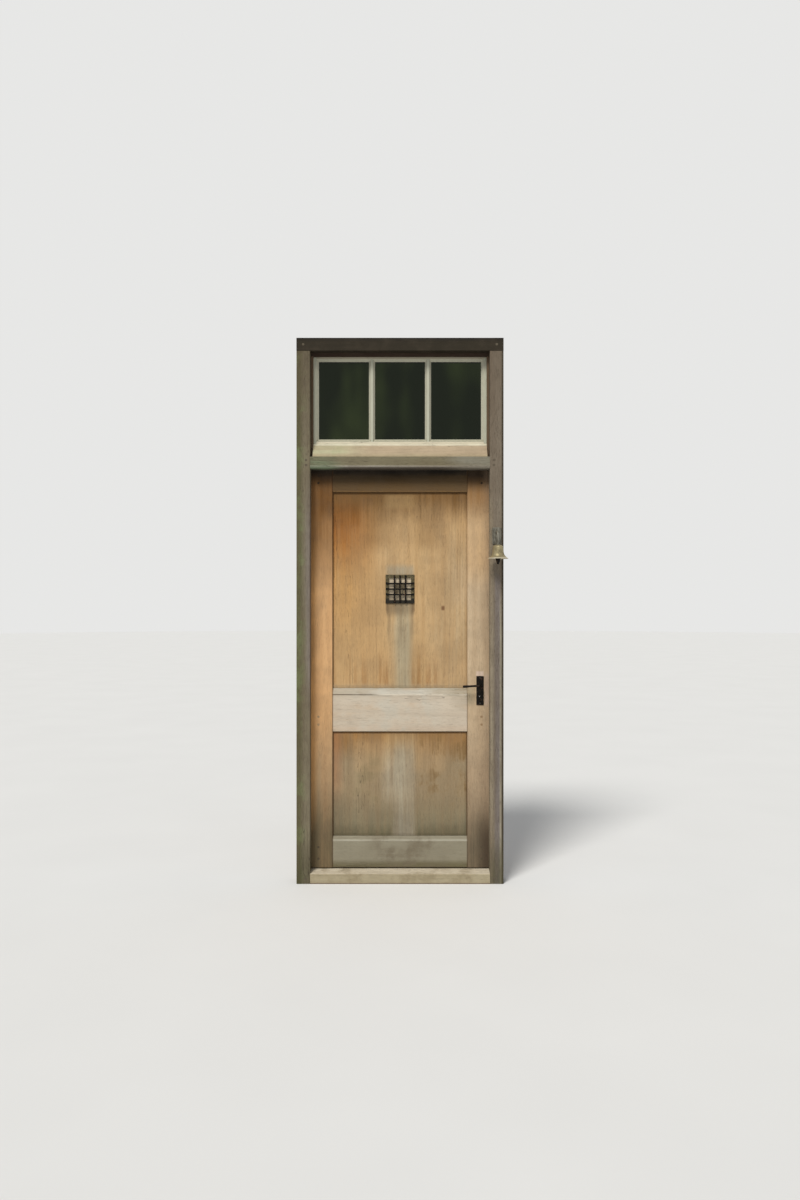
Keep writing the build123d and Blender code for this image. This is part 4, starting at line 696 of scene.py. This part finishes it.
# %% [markdown]
# ## Forged iron
# The grille and the handle are forged iron under old black wax, rough to the touch, with a little
# rust where the wax has gone. On the grille's square frame it has gone nearly everywhere, and only
# the bars' ends are still black. The bell's bracket has lost it all and gone grey. Black iron could
# be one black, but that looks like a hole, so hammer marks move its colour, its gloss and its
# relief together.

# %% Finish the iron
iron = Finish("forged_iron")
hammer = iron.noise(iron.place, 160.0, 3.0)
rust = iron.noise(iron.place, 55.0, 4.0, 0.65).fade(0.56, 0.70)
black = iron.mix(hammer, (0.006, 0.005, 0.004, 1), (0.020, 0.017, 0.014, 1))
iron.cover(iron.mix(rust * 0.7, black, shade(84, 52, 34)), hammer * 0.2 + rust * 0.25 + 0.40,
           hammer, 0.0006, Specular_IOR_Level=0.3)
iron.connect("Metallic", 0.85 - rust * 0.7)
dress(iron, "grille_uprights", "grille_crossbars", "grille_studs", "outer_plate", "inner_plate",
      "outer_lever", "inner_lever", "bell_bolt", "bell_clapper", "hatch_hinge_fixed",
      "hatch_hinge_moving")

# %% Finish the grille's frame and the bell's bracket
worn_iron = Finish("worn_iron")
pitting = worn_iron.noise(worn_iron.place, 150.0, 4.0, 0.65)
crossbar_heights, side_bars = (1.4485, 1.4765, 1.5045), (0.056, 0.062)
bar_ends = sum(worn_iron.z.band(height, 0.003, 0.004) for height in crossbar_heights)
bar_ends = bar_ends * abs(worn_iron.x).fade(*side_bars)
still_black = bar_ends.larger(worn_iron.z.fade(1.434, 1.424) * 0.9)
bare = worn_iron.mix(pitting.fade(0.36, 0.64), shade(104, 94, 66), shade(62, 53, 34))
worn_iron.cover(worn_iron.mix(still_black, bare, shade(18, 16, 12)), pitting * 0.25 + 0.55,
                pitting, 0.0006, Metallic=0.2, Specular_IOR_Level=0.3)
dress(worn_iron, "grille_frame")

grey_iron = Finish("weathered_iron")
scale = grey_iron.noise(grey_iron.stretched((1.0, 1.0, 0.3)), 70.0, 4.0, 0.6)
grey_iron.cover(grey_iron.mix(scale.fade(0.36, 0.66), shade(128, 124, 112), shade(70, 66, 54)),
                scale * 0.3 + 0.5, scale, 0.0006, Metallic=0.35)
dress(grey_iron, "bell_bracket")

# %% [markdown]
# ## Steel, bronze and brass
# The hinges and the lock are dull steel, the bell is bronze gone brown with a painted highlight
# along its lip, and the hatch has a small brass knob. A second noise could drive the gloss, but the
# dull places on real metal are the dark ones, so each metal has one noise for colour and gloss.

# %% Finish the steel
steel = Finish("dull_steel")
tarnish = steel.noise(steel.place, 70.0, 4.0, 0.6)
steel.cover(steel.mix(tarnish.fade(0.38, 0.66), shade(134, 129, 120), shade(104, 94, 80)),
            tarnish * 0.3 + 0.32, tarnish, 0.0002, Metallic=1.0)
dress(steel, "lock_case", "lock_follower", "latch_bolt", "dead_bolt", "spindle", "hinge_pins",
      "keep_plate")
hinges = ("top", "middle", "bottom")
for hinge in hinges:
    dress(steel, f"hinge_{hinge}_frame_plate", f"hinge_{hinge}_leaf_plate")

# %% Finish the bell and the hatch's knob
bell_bronze = Finish("bell_bronze")
patina = bell_bronze.noise(bell_bronze.place, 55.0, 4.0, 0.6)
# A pale band round the lip: a painted highlight.
rim_highlight = bell_bronze.z.fade(1.632, 1.626)
bronze = bell_bronze.mix(patina.fade(0.34, 0.66), shade(160, 148, 114), shade(122, 111, 82))
bell_bronze.cover(bell_bronze.mix(rim_highlight * 0.7, bronze, shade(220, 212, 190)),
                  patina * 0.3 + 0.45, patina, 0.0003)
bell_bronze.connect("Metallic", patina.fade(0.62, 0.40) * 0.35 + 0.35)
dress(bell_bronze, "bell")

knob_brass = Finish("knob_brass")
handling = knob_brass.noise(knob_brass.place, 60.0, 3.0)
brass = knob_brass.mix(handling.fade(0.38, 0.64), shade(206, 178, 118), shade(120, 98, 60))
knob_brass.cover(brass, handling * 0.3 + 0.20, handling, 0.0001, Metallic=1.0)
dress(knob_brass, "hatch_knob")

# %% [markdown]
# ## Slotted screws
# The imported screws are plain: a countersunk head on a shank. Real ones have a slot and a soft rim,
# and on a handle plate they are what the eye checks first. A slot painted on would vanish from the
# side, so it is cut. One screw is turned from a cylinder, and its slot is marked out with four
# bisecting cuts and pushed in.

# %% The moves that turn a screw
def pick(mesh_object, wanted):
    """Selects the faces whose centre and normal the test accepts. The object is in edit mode."""
    bpy.ops.mesh.select_all(action="DESELECT")
    bpy.ops.object.mode_set(mode="OBJECT")
    for face in mesh_object.data.polygons:
        face.select = wanted(face.center, face.normal)
    bpy.ops.object.mode_set(mode="EDIT")


def push(distance, size=1.0):
    """Extrudes what is selected downwards and scales its end."""
    bpy.ops.mesh.extrude_region_move(TRANSFORM_OT_translate={"value": (0.0, 0.0, -distance)})
    bpy.ops.transform.resize(value=(size, size, 1.0))


# %% Turn one screw
head_radius, shank_radius, tip_share = 0.0040, 0.0020, 0.15
rim_height, cone_depth, shank_length, tip_length = 0.0004, 0.0016, 0.0180, 0.0045
slot_half, slot_reach, slot_depth = 0.00045, 0.0033, 0.0009
facing, near_axis, on_axis, round_sides = 0.9, 0.001, 0.0001, 24
bpy.ops.object.select_all(action="DESELECT")
bpy.ops.mesh.primitive_cylinder_add(vertices=round_sides, radius=head_radius, depth=rim_height,
                                    location=(0.0, 0.0, -rim_height / 2))
master_screw = bpy.context.object
bpy.ops.object.transform_apply(location=True, rotation=True, scale=True)
bpy.ops.object.mode_set(mode="EDIT")
bpy.ops.mesh.select_mode(type="FACE")
pick(master_screw, lambda middle, normal: normal.z < -facing)
push(cone_depth, shank_radius / head_radius)
push(shank_length)
push(tip_length, tip_share)
for across, limit in (((1.0, 0.0, 0.0), slot_half), ((0.0, 1.0, 0.0), slot_reach)):
    for side in (-1, 1):
        pick(master_screw,
             lambda middle, normal: normal.z > facing and middle.xy.length < near_axis)
        bpy.ops.mesh.bisect(plane_co=[side * limit * part for part in across], plane_no=across)
pick(master_screw, lambda middle, normal: normal.z > facing and middle.xy.length < on_axis)
push(slot_depth)
bpy.ops.object.mode_set(mode="OBJECT")
print("one screw has", len(master_screw.data.polygons), "faces")

# %% Soften its rim
rim_round, smooth_under = 0.00025, math.radians(40)
below_top, out_from_axis = 0.0001, head_radius * 0.97
bpy.ops.object.mode_set(mode="EDIT")
bpy.ops.mesh.select_mode(type="EDGE")
bpy.ops.mesh.select_all(action="DESELECT")
bpy.ops.object.mode_set(mode="OBJECT")
for edge in master_screw.data.edges:
    ends = [master_screw.data.vertices[index].co for index in edge.vertices]
    edge.select = all(end.z > -below_top and end.xy.length > out_from_axis for end in ends)
bpy.ops.object.mode_set(mode="EDIT")
bpy.ops.mesh.bevel(offset=rim_round, segments=2, affect="EDGES")
bpy.ops.object.mode_set(mode="OBJECT")
bpy.ops.object.shade_smooth_by_angle(angle=smooth_under)
print("with its rim", len(master_screw.data.polygons), "faces")

# %% [markdown]
# ## A screw in every hole
# A screw goes into each countersink of the hinges, the lock, its keep, the handle's two plates and
# the bell's bracket. Their places could be typed in, but most follow from a plate's box: midway
# across it and a centimetre or so in from its ends, and on a hinge a third one halfway up. Each copy
# of the screw is turned a little further than the last, because nobody lines screws up.

# %% Measure the plates
def centre(node):
    """The middle of a piece's box."""
    low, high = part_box(node)
    return (low + high) / 2


def two_heights(node, from_foot, from_top):
    """Where two screws sit in an upright plate."""
    low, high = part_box(node)
    return low.z + from_foot, high.z - from_top


leaf_edge, frame_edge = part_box("lock_stile")[1].x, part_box("keep_plate")[0].x
hinge_y, hinge_share = 0.036, 0.36
hinge_heights = []
for hinge in hinges:
    foot, top = (corner.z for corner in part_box(f"hinge_{hinge}_leaf_plate"))
    for share in (-hinge_share, 0.0, hinge_share):
        hinge_heights.append((foot + top) / 2 + share * (top - foot))
print("hinge screws at", [round(height, 4) for height in hinge_heights])

# %% List the holes
lock_inset, handle_inset, bracket_insets = 0.010, 0.009, (0.014, 0.010)
collar, bracket_foot = 0.002, 0.005
left, right, inwards, outwards = (-1, 0, 0), (1, 0, 0), (0, 1, 0), (0, -1, 0)
plate_x, lock_y, keep_y = centre("outer_plate").x, centre("lock_case").y, centre("keep_plate").y
outer_plate_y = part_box("outer_plate")[0].y + collar
inner_plate_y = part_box("inner_plate")[1].y - collar
bracket_x, bracket_y = centre("bell_bracket").x, outer_face - bracket_foot

leaf_holes = [((-leaf_edge, hinge_y, height), right) for height in hinge_heights]
for height in two_heights("lock_case", lock_inset, lock_inset):
    leaf_holes.append(((leaf_edge, lock_y, height), left))
for height in two_heights("outer_plate", handle_inset, handle_inset):
    leaf_holes.append(((plate_x, outer_plate_y, height), inwards))
    leaf_holes.append(((plate_x, inner_plate_y, height), outwards))
frame_holes = [((-frame_edge, hinge_y, height), left) for height in hinge_heights]
for height in two_heights("keep_plate", lock_inset, lock_inset):
    frame_holes.append(((frame_edge, keep_y, height), right))
for height in two_heights("bell_bracket", *bracket_insets):
    frame_holes.append(((bracket_x, bracket_y, height), inwards))
print(len(leaf_holes), "holes in the leaf and", len(frame_holes), "in the frame")

# %% Drive the screws
turn_between = 2.4


def drive(name, body, node, holes):
    """Copies the screw into holes, each a place and the direction that the screw points in."""
    bpy.ops.object.select_all(action="DESELECT")
    for count, (place, direction) in enumerate(holes):
        screw = master_screw.copy()
        screw.data = master_screw.data.copy()
        bpy.context.scene.collection.objects.link(screw)
        turn = Vector(direction).to_track_quat("-Z", "Y").to_matrix().to_4x4()
        twist = Matrix.Rotation(count * turn_between, 4, "Z")
        screw.data.transform(Matrix.Translation(place) @ turn @ twist)
        screw.select_set(True)
        bpy.context.view_layer.objects.active = screw
    bpy.ops.object.join()
    screws = bpy.context.object
    screws.name = name
    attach(screws, body)
    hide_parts(node)
    print(name, len(holes), "screws")
    return screws


leaf_screws = drive("slotted_leaf_screws", "leaf", "leaf_screws", leaf_holes)
frame_screws = drive("slotted_frame_screws", "frame", "frame_screws", frame_holes)
bpy.data.objects.remove(master_screw)

# %% [markdown]
# ## One steel for all screws
# The screws of the handle are waxed black with their plate, those of the bell's bracket have gone
# grey with it, and the rest are plain steel in the dry. There could be three materials, but the
# screws are one piece on the leaf and one on the frame, so one material asks where a screw is.

# %% Finish the screws
screw_steel = Finish("screw_steel")
tarnished = screw_steel.noise(screw_steel.place, 220.0, 3.0, 0.6)
by_handle = screw_steel.x.band(plate_x, 0.02, 0.005) * screw_steel.z.band(0.96, 0.10, 0.02)
by_bell = screw_steel.z.band(1.74, 0.05, 0.01) * screw_steel.x.fade(0.45, 0.46)
plain = screw_steel.mix(tarnished.fade(0.42, 0.62), shade(140, 135, 126), shade(86, 76, 62))
greyed = screw_steel.mix(by_bell, plain, shade(98, 93, 80))
waxed = screw_steel.mix(tarnished, (0.030, 0.027, 0.024, 1), (0.090, 0.080, 0.070, 1))
screw_steel.cover(screw_steel.mix(by_handle, greyed, waxed), tarnished * 0.3 + 0.34,
                  tarnished, 0.0001)
screw_steel.connect("Metallic", 0.95 - by_bell * 0.6)
for screws in (leaf_screws, frame_screws):
    screws.data.materials.clear()
    screws.data.materials.append(screw_steel.material)
print(screw_steel.material.name, "on", leaf_screws.name, "and", frame_screws.name)

# %% [markdown]
# ## Pegs and hatch
# A peg shows its end grain, so it is a little darker than the board round it. Each could have its
# own colour, but the leaf's pegs are one piece, so one finish darkens towards both ends of the door
# as the stiles do: at the foot with the grey of the weather, and at the top with the same painted
# shade. The hatch closes the opening behind the grille from indoors. Only its outer face catches
# daylight, and it stands further in than the leaf's boards do, so its weathered side ends at a
# depth of its own.

# %% Finish the pegs and the hatch
pegs = Oak("oak_pegs", "Z", 45, shade(160, 134, 102), shade(164, 128, 86))
# Darker at the top: the stiles' painted shade from the transom.
pegs.stain(pegs.z.fade(1.90, 2.02), 1.0, shade(46, 32, 16))
pegs.stain(pegs.z.fade(0.34, 0.18), 1.0, shade(82, 72, 56))
pegs.lay(0.8)
dress(pegs, "leaf_pegs")
frame_pegs = Oak("oak_frame_pegs", "Z", 47, shade(92, 84, 70), shade(138, 110, 78))
frame_pegs.lay(0.8)
dress(frame_pegs, "frame_pegs")
hatch = Oak("oak_hatch", "Z", 49, shade(214, 202, 172), sheltered_leaf)
hatch_indoors_from, hatch_outdoors_to = 0.0455, 0.0405
hatch.outside = hatch.y.fade(hatch_indoors_from, hatch_outdoors_to)
hatch.lay(0.8)
dress(hatch, "hatch_surround", "hatch_flap")
